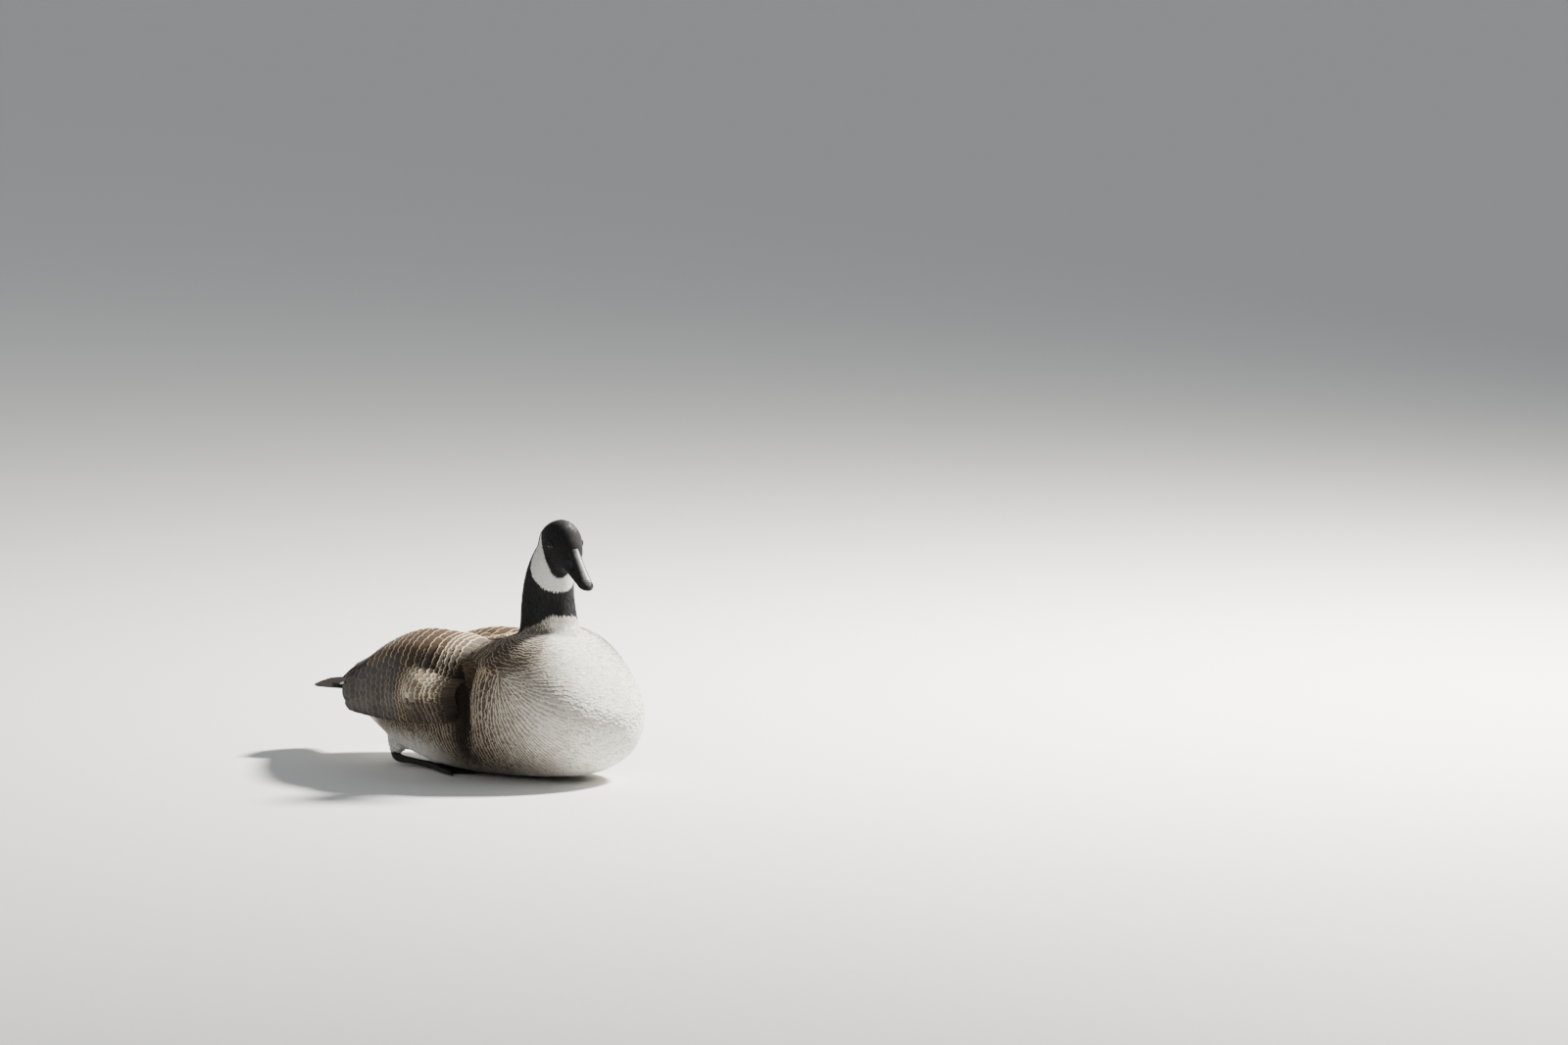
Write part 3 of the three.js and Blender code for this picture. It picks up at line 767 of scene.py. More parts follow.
SOFT_PLUMAGE = plumage("soft_plumage", 0.85, 0.15, side_edge=0.16, bump=0.35)
WING_PLUMAGE = plumage("wing_plumage", 0.66, 0.05, contrast=0.35, side_edge=0.35)
QUILL_PLUMAGE = plumage("quill_plumage", 0.5, 0.0, contrast=0.3, side_edge=0.3)
VELVET_PLUMAGE = plumage("velvet_plumage", 0.5, 0.1, contrast=0.5, bump=0.2, specular=0.45)


# The skin: one surface under all the feathers

COAT = {"torso": 3.2, "neck": 2.4, "head": 1.4}
SKIN_VOXEL = 0.0026
SKIN_SMOOTHING = 14
WING_THICK = (36, 17)
TAIL_CORE = {"half": 32.5, "thick": 7.0, "y": (196, 252), "z": 92}


def wing_core(side):
    """The flesh of the wing, thickest at its front, a little inside the sheet."""
    def at(a, b, depth):
        return wing_point(side, a, b) - wing_normal(side, a, b) * depth[..., None]

    def inner(a, b):
        depth = mix(*WING_THICK, a**3) * mix(0.25, 1, clamp(b * 4))
        return at(a, b, CORE_DEPTH + depth)

    return plate_grid(30, 24, lambda a, b: at(a, b, CORE_DEPTH + 1.2 + 0 * a), inner)


def tail_core():
    def place(t, angle):
        swell = np.sin(math.pi * clamp(t)) ** 0.6
        return np.stack([
            TAIL_CORE["half"] * swell * np.cos(angle),
            mix(*TAIL_CORE["y"], t),
            TAIL_CORE["z"] + TAIL_CORE["thick"] * swell * np.sin(angle),
        ], -1)
    return skin_grid(32, 20, place)


THIGH = {"x": (50, 57), "y": (113, 109), "z": (66, 15), "radius": (17, 8.5)}


def thigh(side):
    """The feathered upper leg, from inside the belly down to the heel."""
    def place(t, angle):
        radius = mix(*THIGH["radius"], t) * np.sqrt(clamp(1 - (2 * t - 1) ** 8))
        return np.stack([
            -side * (mix(*THIGH["x"], t) + radius * np.cos(angle)),
            mix(*THIGH["y"], t) + 1.25 * radius * np.sin(angle),
            mix(*THIGH["z"], t),
        ], -1)
    return skin_grid(32, 24, place)


def on_thigh(points):
    """How much of the thigh is at each place."""
    apart = np.hypot(np.abs(points[:, 0]) - 55, points[:, 1] - 111)
    return smooth(27, 19, apart) * smooth(46, 36, points[:, 2])


def make_skin():
    shapes = [
        thigh(1),
        thigh(-1),
        skin_grid(96, 80, lambda t, g: torso_point(t, g, -COAT["torso"])),
        skin_grid(64, 48, lambda t, g: neck_point(t, g, -COAT["neck"])),
        skin_grid(72, 56, lambda t, g: head_point(t, g, -COAT["head"])),
        wing_core(1),
        wing_core(-1),
        tail_core(),
    ]
    parts = [outward(mesh_object("skin_part", *shape)) for shape in shapes]
    points, faces = [], []
    for part in parts:
        start = len(points)
        points += [v.co.copy() for v in part.data.vertices]
        faces += [[start + k for k in p.vertices] for p in part.data.polygons]
        bpy.data.objects.remove(part)
    mesh = bpy.data.meshes.new("skin")
    mesh.from_pydata(points, [], faces)
    return one_surface(placed("skin", mesh), SKIN_VOXEL, SKIN_SMOOTHING)


skin = make_skin()
SKIN_POINTS = np.array([v.co for v in skin.data.vertices])
SKIN_TREE = BVHTree.FromObject(skin, bpy.context.evaluated_depsgraph_get())


# The skin that shows between feathers has their colour with a little of their tips', darkened as painted
# shade.
TIP_SHARE = 0.25
SKIN_SHADE = 0.7


def paint_skin():
    points = bird_points(SKIN_POINTS)
    normals = np.array([v.normal for v in skin.data.vertices])
    tone, tip, _ = paint(points, normals)
    dim = mix(tone, tip, TIP_SHARE) * SKIN_SHADE
    over_wing = (np.abs(points[:, 0]) > 12) & (points[:, 1] > -66) & (points[:, 2] > 74)
    wing = over_wing & (np.abs(normals[:, 2]) + np.abs(normals[:, 0]) > 0.3)
    dim[wing] = np.array(WING_BROWN) * SKIN_SHADE
    rgba = np.concatenate([dim, np.ones((len(dim), 1))], 1)
    set_attribute(skin.data, "tone", "FLOAT_COLOR", rgba)
    material, build, principled = new_material("skin_under_down")
    place = build.add("ShaderNodeTexCoord").outputs["Object"]
    fluff = build.noise(place, 900.0, 3.0, 0.6)
    tint = build.vector("SCALE", attribute(build, "tone").outputs["Color"], None)
    build.feed(tint.node.inputs["Scale"], build.math("MULTIPLY_ADD", fluff, 0.5, 0.75))
    build.feed(principled.inputs["Base Color"], tint)
    raised(build, principled, fluff, 0.4, 0.0005)
    principled.inputs["Roughness"].default_value = 0.9
    skin.data.materials.append(material)


paint_skin()


# Small feathers: a tree of nodes sets a template on points that carry their own directions

def feather_template(name, rows, columns, tip_round, tip_power, crown, root_width, frayed):
    """A closed feather of unit length and half width along +Y, its upper face towards +Z. The
    upper face is a crowned grid, and the lower one a strip from side to side."""
    s = np.linspace(0, 1, rows + 1) ** 0.9
    c = np.linspace(-1, 1, columns + 1)
    s_grid, c_grid = np.meshgrid(s, c, indexing="ij")
    width = mix(root_width, 1.0, smooth(0, 0.5, s_grid)) * mix(1, 0.9, smooth(0.7, 1, s_grid))
    ragged = rng.uniform(-frayed, frayed, s_grid.shape) * (s_grid > 0.8)
    reach = s_grid * (1 - tip_round * np.abs(c_grid) ** tip_power) + ragged
    height = crown * (1 - c_grid**2) * np.sin(math.pi * clamp(s_grid * 0.9 + 0.05)) ** 0.5
    top = np.stack([c_grid * width, reach, height], -1).reshape(-1, 3)
    across = columns + 1
    middle = columns // 2
    count = len(top)
    under = top[[i * across + middle for i in range(1, rows)]] - np.array([0, 0, crown * 1.2])
    points = np.vstack([top, under])
    faces = []
    for i in range(rows):
        for j in range(columns):
            k = i * across + j
            faces.append((k, k + 1, k + across + 1, k + across))
    for i in range(rows):
        left, right = i * across, i * across + columns
        up_left, up_right = left + across, right + across
        here = None if i == 0 else count + i - 1
        there = None if i == rows - 1 else count + i
        if here is None:
            faces.append((left, up_left, there))
            faces.append((right, there, up_right))
            faces.append(tuple([left, there, right] + [left + k for k in range(columns - 1, 0, -1)]))
        elif there is None:
            faces.append((left, up_left) + tuple(up_left + k for k in range(1, middle + 1)) + (here,))
            faces.append((here,) + tuple(up_left + k for k in range(middle, columns)) + (up_right, right))
        else:
            faces.append((left, up_left, there, here))
            faces.append((right, here, there, up_right))
    mesh = bpy.data.meshes.new(name)
    mesh.from_pydata([tuple(p) for p in points], [], faces)
    vane = np.zeros((len(points), 3))
    vane[:count, 0] = c_grid.ravel()
    vane[:count, 1] = s_grid.ravel()
    vane[count:, 1] = s[1:rows]
    set_attribute(mesh, "vane", "FLOAT_VECTOR", vane)
    turn_outwards(mesh)
    return placed(name, mesh)


def coat_tree():
    """Sets the template on every point: its Z along the normal, its Y along the lie, tipped up by
    the lift, with chance in the turn, the lift and the size."""
    tree = bpy.data.node_groups.new("coat_on_points", "GeometryNodeTree")
    build = Nodes(tree)
    for kind, label in (
        ("NodeSocketGeometry", "Points"), ("NodeSocketObject", "Template"),
        ("NodeSocketMaterial", "Finish"), ("NodeSocketFloat", "Turn Chance"),
        ("NodeSocketFloat", "Lift Chance"), ("NodeSocketInt", "Seed"),
    ):
        tree.interface.new_socket(label, in_out="INPUT", socket_type=kind)
    tree.interface.new_socket("Feathers", in_out="OUTPUT", socket_type="NodeSocketGeometry")
    given = build.add("NodeGroupInput")
    out = build.add("NodeGroupOutput")

    def named(name, kind="FLOAT_VECTOR"):
        node = build.add("GeometryNodeInputNamedAttribute", data_type=kind)
        node.inputs["Name"].default_value = name
        return node.outputs[0]

    def chance(spread, offset):
        node = build.add("FunctionNodeRandomValue", data_type="FLOAT")
        build.feed(node.inputs[2], build.math("MULTIPLY", spread, -1.0))
        build.feed(node.inputs[3], spread)
        build.feed(node.inputs["Seed"], build.math("ADD", given.outputs["Seed"], float(offset)))
        return node.outputs[1]

    upright = build.add("FunctionNodeAlignRotationToVector", axis="Z", pivot_axis="AUTO")
    build.feed(upright.inputs["Vector"], named("away"))
    laid = build.add("FunctionNodeAlignRotationToVector", axis="Y", pivot_axis="Z")
    build.feed(laid.inputs["Rotation"], upright.outputs[0])
    build.feed(laid.inputs["Vector"], named("lie"))
    tilt = build.add("ShaderNodeCombineXYZ")
    lift = build.math("ADD", named("lift", "FLOAT"), chance(given.outputs["Lift Chance"], 1))
    build.feed(tilt.inputs[0], lift)
    build.feed(tilt.inputs[1], chance(given.outputs["Lift Chance"], 2))
    build.feed(tilt.inputs[2], chance(given.outputs["Turn Chance"], 3))
    turned = build.add("FunctionNodeEulerToRotation", {0: tilt.outputs[0]})
    final = build.add("FunctionNodeRotateRotation", rotation_space="LOCAL")
    build.feed(final.inputs[0], laid.outputs[0])
    build.feed(final.inputs[1], turned.outputs[0])
    shape = build.add("GeometryNodeObjectInfo", {
        "Object": given.outputs["Template"], "As Instance": True,
    })
    spread = build.add("GeometryNodeInstanceOnPoints", {
        "Points": given.outputs["Points"], "Instance": shape.outputs["Geometry"],
        "Rotation": final.outputs[0], "Scale": named("size"),
    })
    real = build.add("GeometryNodeRealizeInstances", {0: spread.outputs[0]})
    vane = named("vane")
    patch = build.vector("MULTIPLY_ADD", vane, (PATCH / 2, PATCH, 0), named("root_uv"))
    flat = build.add("GeometryNodeStoreNamedAttribute", data_type="FLOAT2", domain="CORNER")
    build.feed(flat.inputs["Geometry"], real.outputs[0])
    build.feed(flat.inputs["Name"], "OFBake")
    build.feed(flat.inputs["Value"], patch)
    own = build.add("GeometryNodeStoreNamedAttribute", data_type="FLOAT_VECTOR", domain="POINT")
    luck = build.add("ShaderNodeCombineXYZ", {2: named("luck", "FLOAT")})
    build.feed(own.inputs["Geometry"], flat.outputs[0])
    build.feed(own.inputs["Name"], "vane")
    build.feed(own.inputs["Value"], build.vector("ADD", vane, luck.outputs[0]))
    finish = build.add("GeometryNodeSetMaterial", {
        "Geometry": own.outputs[0], "Material": given.outputs["Finish"],
    })
    build.feed(out.inputs[0], finish.outputs[0])
    return tree


# Faces that meet at more than this angle keep a crisp edge, so a feather's rim stays thin.
RIM_ANGLE = math.radians(55)
COAT_TREE = coat_tree()
COAT_LIMIT = 190000
VISIBLE_SHARE = 0.75
ROOT_SINK = 0.4


def along_skin(roots, normals, lies, length):
    """Normals and lies turned so that each feather's tip comes down on the skin again."""
    ends = roots + lies * length[:, None]
    found = [SKIN_TREE.find_nearest(Vector(p)) for p in to_frame(ends)]
    at = bird_points(np.array([hit[0] for hit in found]))
    end_normals = np.array([hit[1] for hit in found])
    lies = unit(at - roots)
    away = unit(normals + end_normals)
    return unit(away - lies * (away * lies).sum(-1, keepdims=True)), lies


def coat(name, template, material, roots, normals, lies, half, length, lift, turn_chance,
         lift_chance, seed, size_chance=0.12, rim=1.0):
    """Feathers set on roots, given in the bird's millimetres, as one or more pieces."""
    count = len(roots)
    half, length, lift = [np.broadcast_to(np.asarray(v, float), count) for v in (half, length, lift)]
    normals, lies = along_skin(roots, normals, lies, length)
    seen = roots + lies * (length * VISIBLE_SHARE)[:, None]
    tone, tip, width = paint(seen, normals)
    width = width * rim
    scale = 1 + np.random.default_rng(seed).uniform(-1, 1, count) * size_chance
    luck = np.random.default_rng(seed + 1).uniform(0, 1, count)
    per = sum(len(p.vertices) - 2 for p in template.data.polygons)
    chunks = max(1, math.ceil(count * per / COAT_LIMIT))
    pieces = []
    for k, part in enumerate(np.array_split(np.arange(count), chunks)):
        mesh = bpy.data.meshes.new(name)
        at = to_frame(roots[part] - normals[part] * ROOT_SINK)
        mesh.from_pydata([tuple(p) for p in at], [], [])
        ones = np.ones((len(part), 1))
        set_attribute(mesh, "away", "FLOAT_VECTOR", normals[part])
        set_attribute(mesh, "lie", "FLOAT_VECTOR", lies[part])
        set_attribute(mesh, "lift", "FLOAT", lift[part])
        size = np.stack([half[part], length[part] * scale[part], length[part]], -1) * MM
        set_attribute(mesh, "size", "FLOAT_VECTOR", size)
        set_attribute(mesh, "tone", "FLOAT_COLOR", np.hstack([tone[part], ones]))
        set_attribute(mesh, "tip", "FLOAT_COLOR", np.hstack([tip[part], ones]))
        span = np.stack([half[part], length[part], width[part]], -1)
        set_attribute(mesh, "span", "FLOAT_VECTOR", span)
        set_attribute(mesh, "luck", "FLOAT", luck[part])
        flat = unroll(roots[part])
        set_attribute(mesh, "root_uv", "FLOAT_VECTOR", np.hstack([flat, 0 * ones]))
        label = name if chunks == 1 else f"{name}_{k + 1}"
        made = placed(label, mesh)
        grow = made.modifiers.new("feathers", "NODES")
        grow.node_group = COAT_TREE
        values = {
            "Template": template, "Finish": material, "Turn Chance": turn_chance,
            "Lift Chance": lift_chance, "Seed": seed + 10 * k,
        }
        for item in COAT_TREE.interface.items_tree:
            if item.item_type == "SOCKET" and item.in_out == "INPUT" and item.name in values:
                grow[item.identifier] = values[item.name]
        pieces.append(made)
    bpy.context.view_layer.update()
    graph = bpy.context.evaluated_depsgraph_get()
    for made in pieces:
        shape = bpy.data.meshes.new_from_object(made.evaluated_get(graph))
        made.modifiers.clear()
        made.data = shape
        for extra in ("away", "lie", "lift", "size", "root_uv", "luck"):
            if extra in shape.attributes:
                shape.attributes.remove(shape.attributes[extra])
        all_smooth(shape)
        above_floor(shape)
        shape.set_sharp_from_angle(angle=RIM_ANGLE)
        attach(made, "root")


# Rows of body feathers. In front they fan out from a line through both shoulders, so that they
# lie down the breast and round under the belly, and behind it they run straight back.
FAN_Y = -149
FAN_Z = 156
FAN_ANGLES = (math.radians(-30), math.radians(90))
LAST_ROW_Y = 232
ROW_STEP = 5.4
SIDE_STEP = 5.6
FULL_REACH = 150
LEAST_ROW = 3.2
LEAST_BARRED = 0.3
BLACK_MARGIN = 4
RAY_REACH = 0.6


def solid_tree(name):
    """A solid of the frame, for rays and nearest points."""
    return BVHTree.FromObject(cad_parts[name], bpy.context.evaluated_depsgraph_get())


WING_TREES = [solid_tree(f"wing_{name}") for name in SIDES]
TORSO_TREE = solid_tree("torso")
# Behind the shoulders only skin this near to the torso's solid is the torso's own, in metres.
TORSO_NEAR = 0.006
# How far off a wing still hides the skin under it, which is less at the notch ahead of the wings,
# and how near to a wing nothing grows, which is more at the wings' rear ends, in metres.
HIDDEN_BELOW = {"notch": 0.010, "rest": 0.03}
CLEAR_OF_WING = {"rear": 0.008, "rest": 0.003}


def cast(start, direction):
    """Where a ray from inside leaves the skin, with the skin's normal there."""
    place, normal, _, _ = SKIN_TREE.ray_cast(Vector(to_frame(start)), Vector(direction), RAY_REACH)
    if place is None:
        return None, None
    return bird_points(np.array(place)), np.array(normal)


def covered(start, direction):
    """Whether a wing lies over the skin along the ray."""
    begin = Vector(to_frame(start))
    way = Vector(direction)
    return any(tree.ray_cast(begin, way, RAY_REACH)[0] is not None for tree in WING_TREES)


def clear_of_black(points):
    return black_depth(points) < BLACK_MARGIN


def spaced(points, step, offset):
    """Positions along a chain of points, a step apart from an offset on: the index of the point
    before each, and its share of the way to the next."""
    gaps = np.linalg.norm(np.diff(points, axis=0), axis=1)
    run = np.concatenate([[0], np.cumsum(gaps)])
    marks = np.arange(offset, run[-1], step)
    index = np.clip(np.searchsorted(run, marks, side="right") - 1, 0, len(gaps) - 1)
    return index, (marks - run[index]) / np.maximum(gaps[index], 1e-6)


def body_lie(points, normals):
    """The way a body feather lies: round the shoulders in front, straight back behind them, and
    outwards and down where the two part beside the neck."""
    ahead = points[:, 1] - FAN_Y
    above = points[:, 2] - FAN_Z
    tangent = unit(np.stack([0 * ahead, -above, ahead], -1))
    behind = smooth(-6, 6, ahead)[:, None]
    parting = (hump(ahead, 0, 22) * smooth(-5, 15, above))[:, None]
    aside = np.stack([np.sign(points[:, 0]) * 0.5, 0 * ahead, -1 + 0 * ahead], -1)
    way = tangent * (1 - behind) + np.array([0, 1.0, 0]) * behind
    way = way * (1 - parting) + aside * parting
    leg = on_thigh(points)[:, None]
    way = way * (1 - leg) + np.array([0, 0.35, -1.0]) * leg
    return unit(way - normals * (way * normals).sum(-1, keepdims=True))


def row_roots(centre, ways, number, keep):
    """Roots along one row, spaced evenly where its rays from the centre meet bare skin."""
    chains, chain = [], []
    for way in ways:
        place, normal = cast(centre, way)
        if place is None or covered(centre, way) or not keep(place):
            if len(chain) > 1:
                chains.append(chain)
            chain = []
        else:
            chain.append((place, normal))
    if len(chain) > 1:
        chains.append(chain)
    roots = []
    for chain in chains:
        places = np.array([c[0] for c in chain])
        normals = np.array([c[1] for c in chain])
        index, share = spaced(places, SIDE_STEP, (number % 2) * SIDE_STEP / 2)
        at = places[index] + (places[index + 1] - places[index]) * share[:, None]
        normal = unit(normals[index] + (normals[index + 1] - normals[index]) * share[:, None])
        roots.append(np.hstack([at, normal]))
    return roots


def body_rows():
    """Roots and normals of the rows, kept only where the plumage is barred."""
    found = []
    fan_centre = np.array([0.0, FAN_Y, FAN_Z])
    step = ROW_STEP / FULL_REACH
    angles = np.arange(*FAN_ANGLES, step)
    sweep = np.linspace(0.02, math.pi - 0.02, 170)
    for number, angle in enumerate(angles):
        down = np.array([0, -math.cos(angle), -math.sin(angle)])
        ways = [math.cos(g) * np.array([-1.0, 0, 0]) + math.sin(g) * down for g in sweep]

        def keep(place, number=number):
            apart = math.hypot(place[1] - FAN_Y, place[2] - FAN_Z) * step
            skip = 1
            while apart * skip < LEAST_ROW and skip < 64:
                skip *= 2
            return number % skip == 0 and clear_of_black(place)

        found += row_roots(fan_centre, ways, number, keep)
    sweep = np.linspace(0, 2 * math.pi, 260)
    ways = [np.array([math.cos(g), 0.0, math.sin(g)]) for g in sweep]
    for number, y in enumerate(np.arange(FAN_Y + 3, LAST_ROW_Y, ROW_STEP)):
        centre = np.array([0.0, y, mix(105, 97, smooth(100, 230, y))])

        def keep(place):
            beside_neck = place[2] > FAN_Z and place[1] < -100
            under_wing_tips = place[2] > 98 and place[1] > 135
            return not beside_neck and not under_wing_tips and clear_of_black(place)

        found += row_roots(centre, ways, number, keep)
    found = np.vstack(found)
    found = found[np.maximum(*barred(found[:, :3])) > LEAST_BARRED]
    return found[:, :3], found[:, 3:]


def open_skin(points, normals):
    """Which points of the skin lie on the torso or the neck with no wing close over them."""
    free = np.ones(len(points), bool)
    for k, (place, at, normal) in enumerate(zip(points, to_frame(points), normals)):
        _, y, z = place
        at, way = Vector(at), Vector(normal)
        if y > -40 and z > 60 and TORSO_TREE.find_nearest(at, TORSO_NEAR)[0] is None:
            free[k] = False
        hidden = HIDDEN_BELOW["notch" if y < -62 else "rest"]
        clear = CLEAR_OF_WING["rear" if y > 150 and z > 90 else "rest"]
        for tree in WING_TREES:
            above = tree.ray_cast(at + way * 0.0005, way, hidden)[0]
            if above is not None or tree.find_nearest(at, clear)[0] is not None:
                free[k] = False
    return free


# How many roots are tried for each one that there may be room for
TRIES = 4.0


def scatter(chosen, spacing, seed, taken=None):
    """Roots spread over the skin where chosen(points), no two nearer than spacing(points), and
    none near the places that are taken."""
    draw = np.random.default_rng(seed)
    mesh = skin.data
    mesh.calc_loop_triangles()
    corners = np.array([t.vertices for t in mesh.loop_triangles])
    centre = bird_points(SKIN_POINTS[corners].mean(1))
    corners = corners[chosen(centre)]
    a, b, c = [SKIN_POINTS[corners[:, k]] for k in range(3)]
    area = np.linalg.norm(np.cross(b - a, c - a), axis=1) / 2 / MM**2
    want = area / spacing(bird_points((a + b + c) / 3)) ** 2 * TRIES
    copies = draw.poisson(want)
    pick = np.repeat(np.arange(len(corners)), copies)
    u, v = draw.uniform(size=(2, len(pick)))
    fold = u + v > 1
    u[fold], v[fold] = 1 - u[fold], 1 - v[fold]
    at = a[pick] + (b - a)[pick] * u[:, None] + (c - a)[pick] * v[:, None]
    at = at[draw.permutation(len(at))]
    need = spacing(bird_points(at)) * MM
    tree = KDTree(len(at))
    for k, place in enumerate(at):
        tree.insert(place, k)
    tree.balance()
    settled = np.zeros(len(at), bool)
    gone = np.zeros(len(at), bool)
    if taken is not None:
        for place in to_frame(taken):
            for _, other, _ in tree.find_range(place, need.min() * 0.9):
                gone[other] = True
    for k, place in enumerate(at):
        if gone[k]:
            continue
        settled[k] = True
        for _, other, _ in tree.find_range(place, need[k]):
            gone[other] = True
    kept = at[settled]
    normals = np.array([SKIN_TREE.find_nearest(Vector(p))[1] for p in kept])
    return bird_points(kept), normals


# Sizes of the body feathers in mm, at the breast's front and further back: those in rows and
# those between them.
ROW_LONG = (17, 20)
ROW_HALF = 7.2
LOOSE_LONG = (15.5, 19)
LOOSE_HALF = (4.8, 6.4)
# How far apart loose feathers are on the breast, behind it, and by the neck and on the thighs
BREAST_APART, BELLY_APART, FINE_APART = 3.9, 5.0, 3.0
BREAST_END_Y = -120


def body_coat():
    row_feather = feather_template(
        "row_feather", rows=3, columns=4, tip_round=0.06, tip_power=2.0, crown=0.012,
        root_width=0.5, frayed=0.015,
    )
    down_feather = feather_template(
        "down_feather", rows=3, columns=4, tip_round=0.15, tip_power=2.0, crown=0.014,
        root_width=0.5, frayed=0.03,
    )
    places, normals = body_rows()
    in_rows = len(places)

    def on_body(points):
        x, y, z = points.T
        under_tail_covers = (y > 196) & (z > 97) & (np.abs(x) < 44)
        under_mantle = (y > -70) & (z > 110) & (np.abs(x) < 12)
        on_torso = (z < 235) & (y < 238)
        return clear_of_black(points) & on_torso & ~under_tail_covers & ~under_mantle

    def spacing(points):
        fine = np.maximum(smooth(185, 205, points[:, 2]), on_thigh(points))
        apart = mix(BREAST_APART, BELLY_APART, smooth(-150, -90, points[:, 1]))
        return mix(apart, FINE_APART, fine)

    more, more_normals = scatter(on_body, spacing, 31, taken=places)
    free = open_skin(more, more_normals)
    places = np.vstack([places, more[free]])
    normals = np.vstack([normals, more_normals[free]])
    lies = body_lie(places, normals)
    row = np.arange(len(places)) < in_rows
    near = np.hypot(places[:, 1] - FAN_Y, places[:, 2] - FAN_Z)
    near = mix(near, 100, smooth(0, 20, places[:, 1] - FAN_Y))
    size = mix(0.55, 1.0, smooth(8, 70, near)) * mix(0.5, 1, smooth(222, 180, places[:, 2]))
    size = size * mix(1, 0.5, on_thigh(places))
    behind = smooth(-230, -120, places[:, 1])
    length = np.where(row, mix(*ROW_LONG, behind), mix(*LOOSE_LONG, behind)) * size
    half = np.where(row, ROW_HALF, mix(*LOOSE_HALF, behind)) * mix(0.65, 1, size)
    lift = np.where(places[:, 2] < 14, 0.02, 0.05)
    front = places[:, 1] < BREAST_END_Y
    for k, (name, template, chosen) in enumerate((
        ("coat_breast_bars", row_feather, row & front), ("coat_breast", down_feather, ~row & front),
        ("coat_flank_bars", row_feather, row & ~front), ("coat_belly", down_feather, ~row & ~front),
    )):
        coat(name, template, SOFT_PLUMAGE, places[chosen], normals[chosen], lies[chosen],
             half[chosen], length[chosen], lift[chosen], turn_chance=0.05, lift_chance=0.01,
             size_chance=0.03, seed=40 + 7 * k)
    bpy.data.objects.remove(row_feather)
    bpy.data.objects.remove(down_feather)


# Head and neck: a close velvet of small tufts, spread evenly over the skin

def neck_lie(points, normals):
    """The way a tuft lies: back over the head, and down the neck."""
    f, _, u = from_head(points)
    backward = unit(in_head(-1.0, 0.0, 0.0) - in_head(0.0, 0.0, 0.0))
    downward = np.array([0.0, 0.0, -1.0])
    down = np.maximum(smooth(-10, -34, u), smooth(-22, -40, f))[:, None]
    way = unit(backward * (1 - down) + downward * down)
    return unit(way - normals * (way * normals).sum(-1, keepdims=True))


# Tufts of the neck and of the head: how far apart they are, how long and how wide, in mm, and
# how far they stand up. The ruff at the foot of the neck is a little longer.
VELVET = {"apart": (1.85, 1.12), "long": (7.5, 4.2), "half": (1.15, 0.8), "lift": (0.09, 0.12)}
RUFF_LONG = 1.5


def head_share(u):
    """How much a tuft is one of the head and not of the neck, by its U."""
    return smooth(-62, -35, u)


def velvet_coat():
    template = feather_template(
        "tuft", rows=3, columns=2, tip_round=0.35, tip_power=1.4, crown=0.06,
        root_width=0.6, frayed=0.03,
    )

    def on_neck(points):
        f, r, u = from_head(points)
        bill = (f > 24) & (u < 10) & (np.abs(r) < 15) & (u > -22)
        eye = (np.hypot(f, u) < 5.2) & (np.abs(r) > 18)
        return (black_depth(points) > -2.5) & ~bill & ~eye

    def spacing(points):
        return mix(*VELVET["apart"], head_share(from_head(points)[2]))

    places, normals = scatter(on_neck, spacing, 77)
    lies = neck_lie(places, normals)
    f, _, u = from_head(places)
    on_head = head_share(u)
    face = smooth(-10, 15, f) * on_head
    length = mix(*VELVET["long"], on_head) * mix(1, 0.7, face)
    half = mix(*VELVET["half"], on_head) * mix(1, 0.85, face)
    ruff = smooth(240, 218, places[:, 2]) * smooth(-150, -160, places[:, 1])
    length = length + RUFF_LONG * ruff
    lift = mix(*VELVET["lift"], on_head) + 0.03 * ruff
    coat("coat_velvet", template, VELVET_PLUMAGE, places, normals, lies, half, length, lift,
         turn_chance=0.16, lift_chance=0.05, rim=0.4, seed=90)
    bpy.data.objects.remove(template)


body_coat()
velvet_coat()


# Long feathers: each vane is laid on its own surface

VANE_ACROSS = np.array([-1, -0.86, -0.45, 0, 0.45, 0.86, 1])
VANE_ROOT = 0.45
VANE_RAGGED = 0.012


